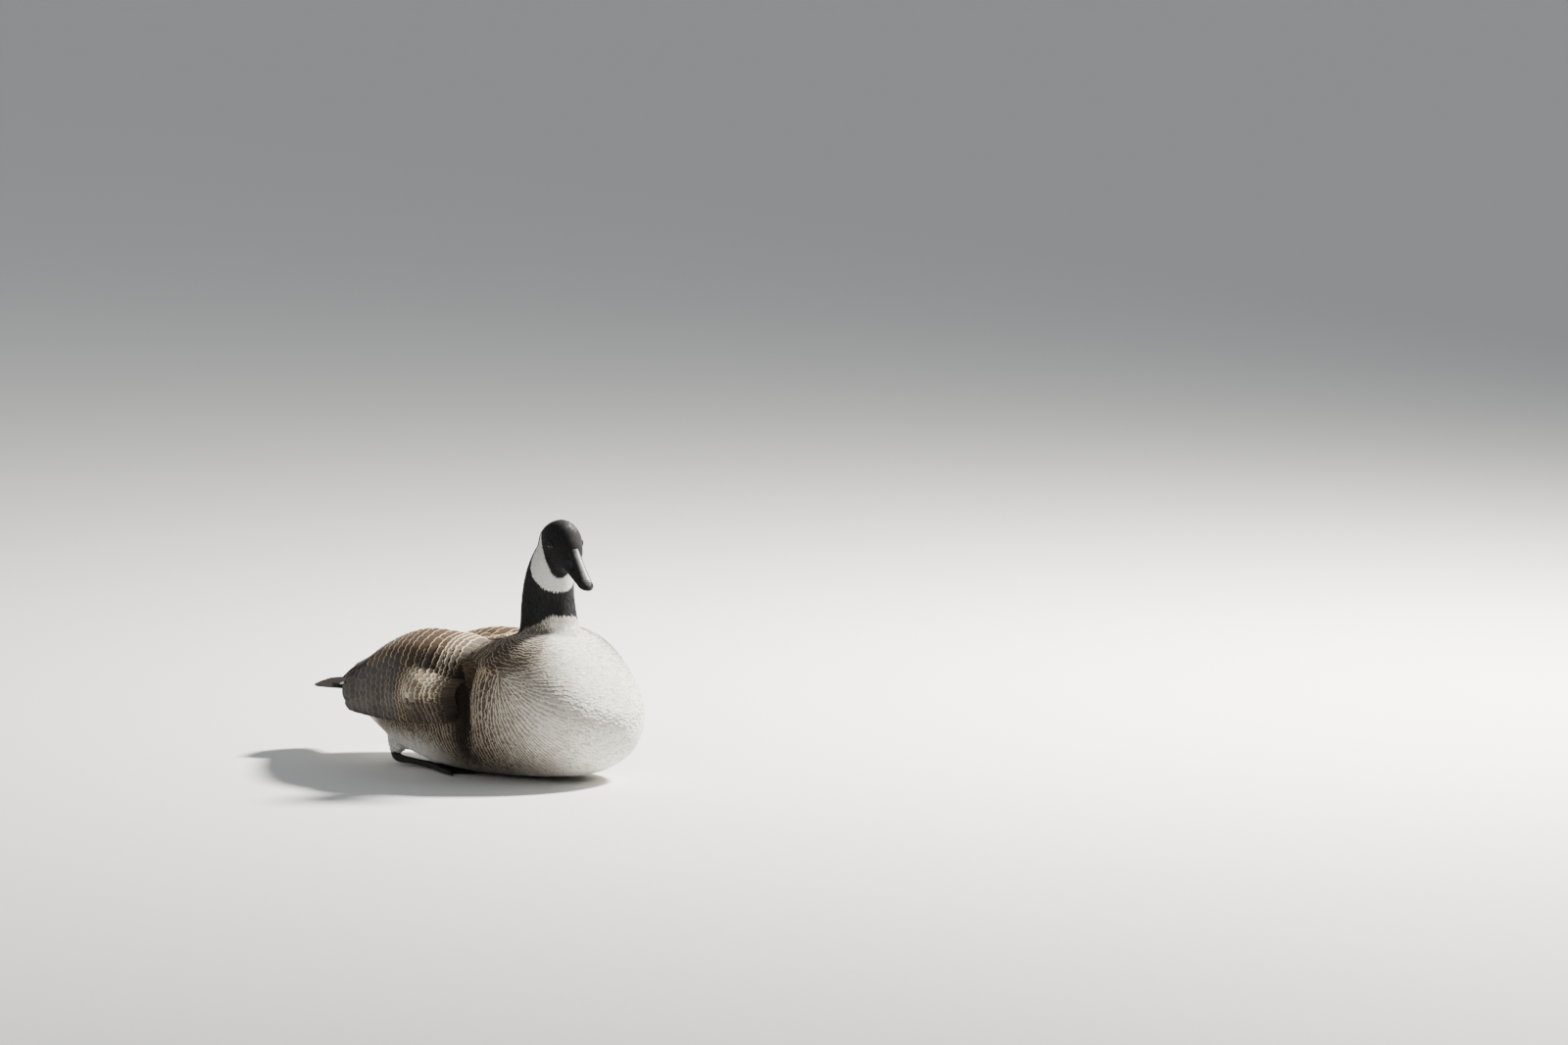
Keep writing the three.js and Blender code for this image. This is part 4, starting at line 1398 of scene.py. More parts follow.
class Vanes:
    """Gathers vanes into one mesh with the attributes that the plumage reads."""

    def __init__(self, name, material, slot):
        self.name, self.material, self.slot_name = name, material, slot
        self.points, self.faces = [], []
        self.vane, self.span, self.tone, self.tip, self.flat = [], [], [], [], []
        self.count = 0

    def add(self, place, half, length, tone, tip, width, root_uv, rows, tip_round, tip_power,
            crown, thick=0.5):
        """place(s, c, h) takes arrays: s along, c across in half widths, h over the surface."""
        s = np.linspace(0, 1, rows + 1) ** 0.85
        columns = len(VANE_ACROSS) - 1
        s_grid, c_grid = np.meshgrid(s, VANE_ACROSS, indexing="ij")
        spread = mix(VANE_ROOT, 1.0, smooth(0, 0.4, s_grid))
        spread = spread * mix(1, 0.93, smooth(0.75, 1, s_grid))
        nick = rng.uniform(-VANE_RAGGED, VANE_RAGGED, s_grid.shape) * (s_grid > 0.97)
        reach = s_grid * (1 - tip_round * np.abs(c_grid) ** tip_power) + nick
        ridge = crown * (1 - c_grid**2)
        body = thick * (1 - np.abs(c_grid) ** 3) * mix(1, 0.5, s_grid) + 0.02
        top = place(reach.ravel(), (c_grid * spread).ravel(), ridge.ravel())
        under = place(reach.ravel(), (c_grid * spread).ravel(), (ridge - body).ravel())
        across = columns + 1
        rim = np.zeros(s_grid.shape, bool)
        rim[:, 0] = rim[:, -1] = rim[0] = rim[-1] = True
        rim = rim.ravel()
        index = np.arange(len(top))
        lower = np.where(rim, index, 0)
        lower[~rim] = len(top) + np.arange((~rim).sum())
        start = self.count
        self.points.append(np.vstack([top, under[~rim]]))
        for i in range(rows):
            for j in range(columns):
                k = i * across + j
                corners = [k, k + 1, k + across + 1, k + across]
                self.faces.append([start + k for k in corners])
                self.faces.append([start + lower[k] for k in reversed(corners)])
        luck = rng.uniform()
        vane = np.stack([c_grid.ravel(), s_grid.ravel(), np.full(len(top), luck)], -1)
        both = np.vstack([vane, vane[~rim]])
        self.vane.append(both)
        total = len(both)
        self.span.append(np.tile([half, length, width], (total, 1)))
        self.tone.append(np.tile([*tone, 1.0], (total, 1)))
        self.tip.append(np.tile([*tip, 1.0], (total, 1)))
        self.flat.append(np.asarray(root_uv) + both[:, :2] * np.array([PATCH / 2, PATCH]))
        self.count += total

    def finish(self):
        made = mesh_object(self.name, np.vstack(self.points), self.faces)
        mesh = made.data
        set_attribute(mesh, "vane", "FLOAT_VECTOR", np.vstack(self.vane))
        set_attribute(mesh, "span", "FLOAT_VECTOR", np.vstack(self.span))
        set_attribute(mesh, "tone", "FLOAT_COLOR", np.vstack(self.tone))
        set_attribute(mesh, "tip", "FLOAT_COLOR", np.vstack(self.tip))
        flat = np.vstack(self.flat)
        corners = np.zeros(len(mesh.loops), int)
        mesh.loops.foreach_get("vertex_index", corners)
        layer = mesh.uv_layers.new(name="OFBake")
        layer.data.foreach_set("uv", flat[corners].astype(np.float32).ravel())
        turn_outwards(mesh)
        all_smooth(mesh)
        mesh.set_sharp_from_angle(angle=RIM_ANGLE)
        mesh.materials.append(self.material)
        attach(made, "root")
        return made


def wing_vane(vanes, side, a0, b0, length, half, tone, tip, width, sink, lift, drift=0.0, **shape):
    """A feather on the wing's sheet, from a0 and b0, with sizes in mm."""
    long_a = length / float(rear_edge(b0) - front_edge(b0))
    middle = a0 + 0.5 * long_a
    step = 0.02
    span = wing_point(side, np.array([middle, middle]), np.array([b0 - step, b0 + step]))
    per_b = np.linalg.norm(span[1] - span[0]) / (2 * step)

    def place(s, c, h):
        along = a0 + long_a * s
        across = clamp(b0 + drift * s + c * half / per_b, -0.05, 1.05)
        rise = mix(-sink, lift, s) + h - CORE_DEPTH - TUCK * smooth(1.0, 1.13, along)
        return wing_point(side, along, across) + wing_normal(side, along, across) * rise[..., None]

    vanes.add(place, half, length, tone, tip, width, unroll_wing(side, a0, b0), **shape)


def shade(colour, low=0.88, high=1.12):
    return tuple(np.array(colour) * rng.uniform(low, high))


# Tracts of wing feathers: where they start and end along a and b, the step between rows, length
# and half width at the first and last row, and how far they stand out, all in mm but a and b.
WING_TRACTS = (
    {"name": "small", "a": (-0.03, 0.42), "b": (0.47, 0.97), "step": (6.5, 10.5), "long": (20, 38),
     "half": (6.0, 9.5), "rise": 0.0, "rows": 5, "round": 0.2, "power": 2.0},
    {"name": "rear", "a": (0.30, 0.74), "b": (0.40, 0.96), "step": (11, 16), "long": (46, 76),
     "half": (10, 13), "rise": 0.2, "rows": 8, "round": 0.18, "power": 2.1},
    {"name": "last", "a": (0.80, 0.88), "b": (0.10, 0.87), "step": (12, 12), "long": (58, 58),
     "half": (9, 9), "rise": -0.6, "rows": 8, "round": 0.16, "power": 2.1},
    {"name": "back", "a": (-0.03, 0.68), "b": (0.05, 0.56), "step": (8, 16), "long": (24, 80),
     "half": (8.5, 13.5), "rise": 1.2, "rows": 8, "round": 0.10, "power": 2.6},
)
# Behind the wing's rear edge feathers close in on the body by this much.
TUCK = 15
OVERLAP = 0.62
# No feather at the wing's front edge is longer than this.
EDGE_LENGTH = 11


# The wing's markings, with its painted light and shade, as pairs along a or b like those of MARKS
WING_MARKS = {
    "ledge_a": (0.16, 0.0), "front_a": (0.36, 0.24), "fold_shade_a": (0.34, 0.22),
    "fold_shade_b": (0.42, 0.52), "crest_lit_b": (0.84, 0.74), "lower_shade_b": (0.74, 0.84),
    "rear_a": (0.28, 0.42), "rear_b": (0.42, 0.56), "dark_edge_a": (0.62, 0.9),
    "dark_a": (0.58, 0.72), "groove_shade_a": (0.06, -0.01), "groove_shade_b": (0.5, 0.62),
}
SPOT = {"a": (0.22, 0.035), "b": (0.79, 0.06), "left_out": 0.4}
DARK_EDGE = (0.36, 0.54)


def wing_mark(name, v):
    return smooth(*WING_MARKS[name], v)


def wing_colours(side, a, b):
    """Tone, edge colour and edge width of a wing feather that is seen at a, b."""
    top = ledge(wing_mark("ledge_a", a))
    front = wing_mark("front_a", a)
    # Painted shade in the band just above the fold's upper edge, over the wrist's lump
    above = wing_mark("fold_shade_b", b) * smooth(top, top - 0.03, b) * wing_mark("fold_shade_a", a)
    # Painted light on the top of the lump
    crest_lit = smooth(top - 0.03, top, b) * wing_mark("crest_lit_b", b) * front
    # Painted shade on the lower part of the lump
    lower = wing_mark("lower_shade_b", b) * front
    spot = hump(a, *SPOT["a"]) * hump(b, *SPOT["b"])
    spot = spot * (rng.uniform() > SPOT["left_out"]) * (side > 0)
    rear = wing_mark("rear_a", a) * wing_mark("rear_b", b)
    edge_b = mix(*DARK_EDGE, wing_mark("dark_edge_a", a))
    dark = wing_mark("dark_a", a + rng.uniform(-0.03, 0.03))
    dark = dark * smooth(edge_b + 0.04, edge_b - 0.04, b)
    # Painted shade at the wing's front edge, by the notch
    groove_shade = wing_mark("groove_shade_a", a) * wing_mark("groove_shade_b", b)
    tone, tip, width = np.array(WING_BROWN), np.array(WING_TIP), 1.6
    for share, colour, edge, wide in (
        (above, FOLD_SHADE, FOLD_SHADE_TIP, 1.1), (crest_lit, CREST_LIT, CREST_LIT_TIP, 1.8),
        (lower, LOWER_FOLD_SHADE, LOWER_FOLD_SHADE_TIP, 1.4), (spot, PALE_SPOT, PALE_SPOT, 3.0),
        (rear, REAR_BROWN, REAR_TIP, 2.2), (dark, QUILL, RUST_TIP, 1.6),
        (groove_shade, GROOVE_SHADE, GROOVE_SHADE_TIP, 1.0),
    ):
        tone = mix(tone, np.array(colour), share)
        tip = mix(tip, np.array(edge), share)
        width = mix(width, wide, share)
    return tone * rng.uniform(0.84, 1.14), tip * rng.uniform(0.88, 1.1), float(width)


def wing_tract(vanes, side, tract):
    """Rows from the front of a tract back, each half a feather to the side of the last."""
    a, last = tract["a"]
    low, high = tract["b"]
    first = a
    row = 0
    span = float(rear_edge(0.5) - front_edge(0.5))
    while a < last:
        t = (a - first) / (last - first)
        most = EDGE_LENGTH + max(0, a - CURL_SHARE / 2) * span * 1.1
        length = min(mix(*tract["long"], t), most)
        half = mix(*tract["half"], t) * min(1, 0.6 + length / 60)
        line = wing_point(side, np.full(40, a), np.linspace(low, high, 40))
        wide = np.linalg.norm(np.diff(line, axis=0), axis=1).sum()
        count = max(3, int(round(wide / (2 * half * OVERLAP))))
        for k in range(count + 1):
            share = (k + (0.0 if row % 2 else 0.5)) / count
            b = low + (high - low) * share
            if b > high:
                continue
            tone, tip, width = wing_colours(side, a + length / span, b)
            wing_vane(
                vanes, side, a + rng.uniform(-0.003, 0.003), b, length * rng.uniform(0.98, 1.02),
                half * rng.uniform(0.95, 1.05), tone, tip, width,
                sink=2.4 - tract["rise"], lift=2.0 + tract["rise"], rows=tract["rows"],
                tip_round=tract["round"], tip_power=tract["power"], crown=0.35, thick=0.4,
            )
        a += mix(*tract["step"], t) * mix(0.7, 1, smooth(0, 0.12, a)) / span
        row += 1


# Flight feathers folded along the upper edge of the wing's rear.
PRIMARIES = {
    "count": 8, "a": 0.45, "a_step": 0.022, "b": 0.52, "b_step": 0.036, "long": 110, "half": 7.0,
    "drift": -0.09,
}


def wing_coat(side, name):
    """Rows of covers from the shoulder back, then the edge of the folded flight feathers."""
    vanes = Vanes(f"coat_wing_{name}", WING_PLUMAGE, "wing_plumage")
    for tract in WING_TRACTS:
        wing_tract(vanes, side, tract)
    for k in range(PRIMARIES["count"]):
        a = PRIMARIES["a"] + PRIMARIES["a_step"] * k
        b = PRIMARIES["b"] - PRIMARIES["b_step"] * k
        wing_vane(
            vanes, side, a, b, PRIMARIES["long"], PRIMARIES["half"],
            shade(QUILL), shade(RUST_TIP), 1.1,
            sink=0.5, lift=4.4 + 0.12 * k, drift=PRIMARIES["drift"], rows=12, tip_round=0.2,
            tip_power=1.8, crown=0.4,
        )
    return vanes.finish()


WING_PIECES = {name: wing_coat(side, name) for name, side in SIDES.items()}


# The long dark flight feathers run on from the wings and come down on the tail. The path gives
# y, x and z of the right wing's bunch, and the left wing lies lower by the last number.
QUILLS = 7
QUILL_HALF = 8.0
QUILL_PATH = np.array([
    [150, 42, 154.5, 9.5],
    [181, 37, 140.0, 9.5],
    [215, 31, 122.5, 7],
    [240, 25, 107.0, 2],
    [264, 20, 101.5, 0],
])


def quill_coat(side, name):
    """The bunch of flight feathers of one wing."""
    vanes = Vanes(f"quills_{name}", QUILL_PLUMAGE, "wing_plumage")
    for k in range(QUILLS):
        order = k / (QUILLS - 1)
        root_y, reach = mix(168, 186, order), mix(216, 260, order)

        def place(s, c, h, root_y=root_y, reach=reach, order=order, k=k):
            y = mix(root_y, reach, s)
            x, z, lower = [np.interp(y, QUILL_PATH[:, 0], QUILL_PATH[:, n]) for n in (1, 2, 3)]
            u = c * QUILL_HALF * mix(1, 0.75, s)
            level = 1.2 - 0.4 * k - 8.0 * smooth(0.45, 0, s)
            drop = lower if side < 0 else 0
            return np.stack([-side * (x + 6 * (order - 0.5) + u), y, z - drop + level + h], -1)

        flat = unroll_wing(side, 1.0 + 0.03 * k, 0.05)
        vanes.add(place, QUILL_HALF, reach - root_y, shade(QUILL), shade(QUILL_EDGE), 0.8,
                  flat, rows=14, tip_round=0.2, tip_power=1.7, crown=0.4, thick=0.35)
    vanes.finish()


for name, side in SIDES.items():
    quill_coat(side, name)

TAIL_FEATHERS = 16
TAIL_FAN = math.radians(21)
TAIL_FROM_Y = 200
TAIL_HALF = 12.0
TAIL_Z = 97.5
# Each feather of the fan lies lower than its neighbour nearer to the middle by this much.
TAIL_STEP = 0.42
# Height of the tail's covers along y, and their rows: root y, length, half width and reach in x.
COVER_LINE = (
    (180, 124), (202, 117.5), (212, 114), (220, 110.5), (228, 106.5), (236, 103), (246, 99.8),
    (260, 98.6),
)
COVER_ROWS = ((206, 42, 9.5, 25), (196, 42, 9.5, 27), (186, 40, 9.5, 27), (176, 38, 9.5, 27))


def tail_coat():
    """The fan of the tail under rows of white covers."""
    vanes = Vanes("tail_feathers", QUILL_PLUMAGE, "tail_plumage")
    middle = (TAIL_FEATHERS - 1) / 2
    for k in range(TAIL_FEATHERS):
        spread = (k - middle) / middle
        turn = TAIL_FAN * spread
        length = (TAIL_TIP_Y - TAIL_FROM_Y) * mix(1, 0.86, spread**2)
        level = TAIL_Z - TAIL_STEP * abs(k - middle)

        def place(s, c, h, spread=spread, turn=turn, length=length, level=level):
            u = TAIL_HALF * c * mix(0.55, 1, clamp(s * 1.6))
            v = length * s
            return np.stack([
                26 * spread + u * math.cos(turn) + v * math.sin(turn),
                TAIL_FROM_Y + v * math.cos(turn) - u * math.sin(turn),
                level + h + 2 * s - 0.04 * spread * u - 1.5,
            ], -1)

        flat = (0.02 + 0.58 * (0.75 + 0.01 * (k - 9)), 0.96)
        vanes.add(place, TAIL_HALF, length, shade(TAIL_BROWN), shade(TAIL_EDGE), 0.7, flat,
                  rows=12, tip_round=0.14, tip_power=2.2, crown=0.3, thick=0.3)
    for row, (root_y, length, half, reach) in enumerate(COVER_ROWS):
        for x in np.arange(-reach + 4.5 * (row % 2), reach + 1, 9.0):
            def place(s, c, h, x=x, root_y=root_y, length=length, half=half):
                y = root_y + length * s
                across = x * mix(1, 1.15, s) + c * half
                ground = np.interp(y, *zip(*COVER_LINE)) - 0.0045 * across**2
                return np.stack([across, y, ground + mix(-2.5, 1.0, s) + h], -1)

            tone = WHITE if row < 3 else TAIL_BROWN
            flat = unroll(np.array([[x, root_y, 115.0]]))[0]
            vanes.add(place, half, length, shade(tone, 0.94, 1.0), shade(tone), 1.0, flat, rows=6,
                      tip_round=0.22, tip_power=2.0, crown=0.4, thick=0.3)
    return vanes.finish()


# The mantle: broad feathers down the middle of the back that lie over the wings' inner edges
BACK_CELL = 3.0
BACK_X = np.arange(-54, 55, BACK_CELL)
BACK_Y = np.arange(-112, 262, BACK_CELL)
BACK_LIMIT = 188
# Rays start at the first height, and where one meets no skin the table gets the second.
BACK_START = 240.0
BACK_MISSED = 95
# How far from the middle the wings' inner edges lie, along y
INNER_EDGE = ((-60, 26), (-26, 26), (43, 22), (112, 17), (181, 11), (250, 7))


def back_table():
    """Heights of the skin's upper side over the middle of the back, a little blurred."""
    table = np.zeros((len(BACK_X), len(BACK_Y)))
    for i, x in enumerate(BACK_X):
        for j, y in enumerate(BACK_Y):
            start = Vector(to_frame((x, y, BACK_START)))
            place = SKIN_TREE.ray_cast(start, Vector((0, 0, -1)), RAY_REACH)[0]
            table[i, j] = BACK_MISSED if place is None else bird_points(np.array(place))[2]
    table = np.minimum(table, BACK_LIMIT)
    for j, y in enumerate(BACK_Y):
        edge = np.interp(y, *zip(*INNER_EDGE)) + 6
        left, right = [np.interp(side * edge, BACK_X, table[:, j]) for side in (-1, 1)]
        over = mix(left, right, clamp((BACK_X + edge) / (2 * edge))) - 2.0
        table[:, j] = np.where(np.abs(BACK_X) < edge, np.maximum(table[:, j], over), table[:, j])
    for _ in range(3):
        table[1:-1] = (table[:-2] + table[1:-1] * 2 + table[2:]) / 4
        table[:, 1:-1] = (table[:, :-2] + table[:, 1:-1] * 2 + table[:, 2:]) / 4
    return table


BACK_TABLE = back_table()


def back_z(x, y):
    row = clamp((x - BACK_X[0]) / BACK_CELL, 0, len(BACK_X) - 1.001)
    column = clamp((y - BACK_Y[0]) / BACK_CELL, 0, len(BACK_Y) - 1.001)
    i, j = np.floor(row).astype(int), np.floor(column).astype(int)
    fi, fj = row - i, column - j
    near = mix(BACK_TABLE[i, j], BACK_TABLE[i + 1, j], fi)
    far = mix(BACK_TABLE[i, j + 1], BACK_TABLE[i + 1, j + 1], fi)
    return mix(near, far, fj)


# From the first row to the last: where they lie, the step, the sizes and the reach to each side
MANTLE_ROWS = {
    "y": (-96, 168), "step": (8, 16), "long": (26, 70), "half": (8.0, 12.0), "reach": (34, 17),
}


def mantle_coat():
    vanes = Vanes("coat_mantle", WING_PLUMAGE, "body_plumage")
    y0, last = MANTLE_ROWS["y"]
    first, row = y0, 0
    while y0 < last:
        t = (y0 - first) / (last - first)
        keys = ("step", "long", "half", "reach")
        step, length, half, reach = [mix(*MANTLE_ROWS[key], t) for key in keys]
        apart = 2 * half * OVERLAP
        count = int(reach / apart) + 1
        for k in range(-count, count + 1):
            x0 = (k + 0.5 * (row % 2)) * apart
            if abs(x0) > reach * rng.uniform(0.85, 1.1):
                continue
            turn = 0.32 * x0 / MANTLE_ROWS["reach"][0] + rng.uniform(-0.04, 0.04)
            root_y = y0 - 0.005 * x0**2 + rng.uniform(-1.2, 1.2)

            def place(s, c, h, x0=x0, root_y=root_y, turn=turn, length=length, half=half):
                u, v = c * half, length * s
                x = x0 + u * math.cos(turn) + v * math.sin(turn)
                y = root_y + v * math.cos(turn) - u * math.sin(turn)
                return np.stack([x, y, back_z(x, y) + mix(-1.5, 5.6, s) + h], -1)

            dark = smooth(120, 175, y0 + length)
            tone = mix(np.array(WING_BROWN), np.array(QUILL), dark)
            edge = mix(np.array(WING_TIP), np.array(RUST_TIP), dark)
            flat = unroll(np.array([[x0, y0, back_z(x0, y0)]]))[0]
            width = float(mix(1.6, 1.1, dark))
            vanes.add(place, half, length, shade(tone, 0.8, 1.2), shade(edge), width, flat,
                      rows=7, tip_round=0.18, tip_power=2.0, crown=0.35, thick=0.4)
        y0 += step
        row += 1
    vanes.finish()


mantle_coat()
tail_feathers = tail_coat()


# Bill

BILL_ROOT = 8
BILL_TIP = 84
BILL_HALF = 14


def mouth_line(f):
    return -14.5 - 6 * clamp((f - 14) / 64) ** 0.8


def culmen(f):
    return mix(10, -14, clamp((f - 21) / 55) ** 0.85)


def bill_half(f):
    return BILL_HALF * mix(1, 0.8, clamp((f - 20) / 45))


NOSTRIL = {"f": 44, "long": 5.0, "rise": 0.56, "wide": 0.13, "deep": 2.4}
NAIL = 13


def bill_station(t, tip):
    """F at t, closer together towards the tip, and how full the bill is there."""
    f = mix(BILL_ROOT, tip, 1 - np.cos(math.pi / 2 * t) ** 1.2)
    return f, np.sqrt(clamp((tip - f) / 9)) * np.minimum(1, t * 6)


def bill_upper():
    tip = BILL_TIP

    def place(t, angle):
        f, taper = bill_station(t, tip)
        low = mouth_line(f) - 1.2 * hump(f, tip - 3, 5)
        high = culmen(f)
        c, s = np.cos(angle), np.sin(angle)
        nail = 0.9 * smooth(tip - NAIL, tip - NAIL + 2, f) * (s > 0) * smooth(0.66, 0.5, np.abs(c))
        hollow = 1.3 * hump(f, 42, 10) * hump(s, 0.5, 0.25)
        pit = hump(f, NOSTRIL["f"], NOSTRIL["long"]) * hump(s, NOSTRIL["rise"], NOSTRIL["wide"])
        pit = np.minimum(1.0, 1.6 * pit)
        width = bill_half(f) * taper - hollow - NOSTRIL["deep"] * pit
        lip = 0.5 * hump(s, 0.02, 0.12)
        rise = np.where(s > 0, (high - low) * taper * s, 0.6 * s * taper) + nail * taper
        return in_head(f, (width + lip * taper) * np.sign(c) * np.abs(c) ** 0.75, low + rise)

    return outward(mesh_object("bill_top", *skin_grid(120, 130, place)))


def bill_lower():
    def place(t, angle):
        f, taper = bill_station(t, BILL_TIP - 8)
        high = mouth_line(f) - 0.9
        depth = mix(9.5, 4, clamp((f - 16) / 50)) * taper
        c, s = np.cos(angle), np.sin(angle)
        width = (bill_half(f) - 0.9) * taper
        rise = np.where(s > 0, 0.5 * taper * s, depth * s)
        return in_head(f, width * c, high + rise)

    return outward(mesh_object("bill_under", *skin_grid(72, 70, place)))


def horn_material():
    material, build, principled = new_material("bill_horn")
    place = build.add("ShaderNodeTexCoord").outputs["Object"]
    cloud = build.noise(place, 160.0, 3.0, 0.6)
    fine = build.noise(place, 1400.0, 2.0, 0.6)
    cloudy = build.ramp(cloud, 0.35, 0.7)
    tint = build.blend(cloudy, (0.006, 0.006, 0.007, 1), (0.014, 0.013, 0.014, 1))
    build.feed(principled.inputs["Base Color"], tint)
    build.feed(principled.inputs["Roughness"], build.ramp(cloud, 0.2, 0.8, 0.36, 0.52))
    height = build.math("ADD", build.math("MULTIPLY", fine, 0.4), cloud)
    raised(build, principled, height, 0.15, 0.0005)
    principled.inputs["Specular IOR Level"].default_value = 0.45
    return material


HORN = horn_material()


def carry(made, slot_name, material, *nodes):
    """Finishes a piece that stands for CAD nodes."""
    made.data.materials.clear()
    made.data.materials.append(material)
    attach(made, "root")
    if nodes:
        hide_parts(*nodes)


carry(bill_upper(), "bill_horn", HORN, "bill_upper")
carry(bill_lower(), "bill_horn", HORN, "bill_lower")


# Eyes and lids

EYE_R = 5.8
EYE_SPREAD = 21.1
OPENING = {"wide": 4.9, "tall": 4.3, "out": 3.9}
LID_THICK = 0.85


def eye_material():
    material, build, principled = new_material("eye_dark")
    gaze = attribute(build, "gaze").outputs["Fac"]
    place = build.add("ShaderNodeTexCoord").outputs["Object"]
    fleck = build.noise(place, 2200.0, 2.0, 0.6)
    iris = build.blend(fleck, (0.010, 0.005, 0.003, 1), (0.024, 0.011, 0.006, 1))
    pupil = build.ramp(gaze, 0.86, 0.90)
    rim = build.ramp(gaze, 0.62, 0.55)
    tint = build.blend(pupil, iris, (0.002, 0.002, 0.002, 1))
    tint = build.blend(rim, tint, (0.006, 0.005, 0.005, 1))
    build.feed(principled.inputs["Base Color"], tint)
    principled.inputs["Roughness"].default_value = 0.06
    principled.inputs["Specular IOR Level"].default_value = 0.5
    return material


EYE = eye_material()


def eye(side, name):
    """A ball with its poles along the line of sight; gaze is 1 at the middle of the pupil."""
    sight = unit(in_head(0.35, side * 1.0, 0.05) - in_head(0.0, 0.0, 0.0))
    centre = in_head(0.0, side * EYE_SPREAD, 0.0)
    first = unit(np.cross(sight, [0, 0, 1.0]))
    second = np.cross(sight, first)

    def place(t, angle):
        around = np.sin(math.pi * t)[:, None] * (
            np.cos(angle)[:, None] * first + np.sin(angle)[:, None] * second
        )
        ball = around + np.cos(math.pi * t)[:, None] * sight
        return centre + EYE_R * ball * (1 + 0.03 * hump(t, 0, 0.25))[:, None]

    made = outward(mesh_object(f"eyeball_{name}", *skin_grid(48, 36, place)))
    away = unit(bird_points(np.array([v.co for v in made.data.vertices])) - centre) @ sight
    set_attribute(made.data, "gaze", "FLOAT", away)
    carry(made, "eye", EYE, f"eye_{name}")


def lid_material():
    material, build, principled = new_material("lid_skin")
    place = build.add("ShaderNodeTexCoord").outputs["Object"]
    grain = build.noise(place, 1800.0, 3.0, 0.6)
    tint = build.blend(grain, (0.006, 0.006, 0.006, 1), (0.018, 0.017, 0.016, 1))
    build.feed(principled.inputs["Base Color"], tint)
    raised(build, principled, grain, 0.4, 0.0004)
    principled.inputs["Roughness"].default_value = 0.55
    return material


LID = lid_material()


def lids(side, name):
    """A rim of bare skin round the opening, pinched at its front and rear corners."""
    ring, around = 72, 14
    g = np.repeat(2 * math.pi * np.arange(ring) / ring, around)
    k = np.tile(2 * math.pi * np.arange(around) / around, ring)
    pinch = np.abs(np.cos(g)) ** 6
    wide = OPENING["wide"] + 1.0 * pinch + LID_THICK * np.cos(k)
    tall = OPENING["tall"] + LID_THICK * np.cos(k)
    depth = OPENING["out"] - 0.9 * pinch + 0.8 * np.sin(k)
    f = wide * np.cos(g)
    u = tall * np.sin(g)
    r = side * (EYE_SPREAD + depth - 0.18 * f)
    points = in_head(f, r, u)
    faces = []
    for i in range(ring):
        for j in range(around):
            here, there = i * around, (i + 1) % ring * around
            after = (j + 1) % around
            faces.append((here + j, there + j, there + after, here + after))
    carry(outward(mesh_object(f"eyelids_{name}", points, faces)), "black_plumage", LID)


for name, side in SIDES.items():
    eye(side, name)
    lids(side, name)


# Legs and webbed feet: the solids' forms, rounded, with scaly skin

def scaly_material():
    material, build, principled = new_material("leg_scales")
    place = build.add("ShaderNodeTexCoord").outputs["Object"]
    cells = build.add(
        "ShaderNodeTexVoronoi", {"Vector": place, "Scale": 520.0}, feature="DISTANCE_TO_EDGE",
    )
    seam = build.ramp(cells.outputs["Distance"], 0.02, 0.14)
    cloud = build.noise(place, 120.0, 3.0, 0.6)
    tint = build.blend(seam, (0.010, 0.010, 0.011, 1), (0.036, 0.035, 0.034, 1))
    tint = build.blend(build.math("MULTIPLY", cloud, 0.5), tint, (0.05, 0.046, 0.042, 1))
    build.feed(principled.inputs["Base Color"], tint)
    raised(build, principled, seam, 0.5, 0.0006)
    principled.inputs["Roughness"].default_value = 0.5
    return material


SCALY = scaly_material()


def through(points, t):
    """Places at t on a curve through the points."""
    points = np.asarray(points, float)
    return np.stack([spline(points[:, k], t) for k in range(3)], -1)


def tube(points, radii, sides=14):
    """Points and faces of a round limb through points, with domed ends."""
    t = np.linspace(0, 1, 6 * len(points))
    line = through(points, t)
    thick = spline(radii, t)
    along = unit(np.gradient(line, axis=0))
    start = line[0] - along[0] * thick[0] * np.array([[0.8], [0.45]])
    end = line[-1] + along[-1] * thick[-1] * np.array([[0.45], [0.8]])
    line = np.vstack([start, line, end])
    thick = np.concatenate([thick[:1] * (0.5, 0.85), thick, thick[-1:] * (0.85, 0.5)])
    along = np.vstack([along[:1], along[:1], along, along[-1:], along[-1:]])
    first = unit(np.cross(along, [0.31, 0.11, 1.0]))
    second = np.cross(along, first)
    angle = 2 * math.pi * np.arange(sides) / sides
    rings = line[:, None] + thick[:, None, None] * (
        np.cos(angle)[None, :, None] * first[:, None] + np.sin(angle)[None, :, None] * second[:, None]
    )
    faces = []
    for i in range(len(line) - 1):
        for j in range(sides):
            k = (j + 1) % sides
            faces.append((i * sides + j, i * sides + k, (i + 1) * sides + k, (i + 1) * sides + j))
    faces.append(tuple(range(sides)))
    last = (len(line) - 1) * sides
    faces.append(tuple(range(last + sides - 1, last - 1, -1)))
    return rings.reshape(-1, 3), faces


def fused(name, shapes, voxel):
    """One rounded closed surface from several overlapping closed shapes."""
    points, faces = [], []
    for shape_points, shape_faces in shapes:
        start = sum(len(p) for p in points)
        points.append(shape_points)
        faces += [[start + k for k in face] for face in shape_faces]
    made = outward(mesh_object(name, np.vstack(points), faces))
    return one_surface(made, voxel, LEG_SMOOTHING)


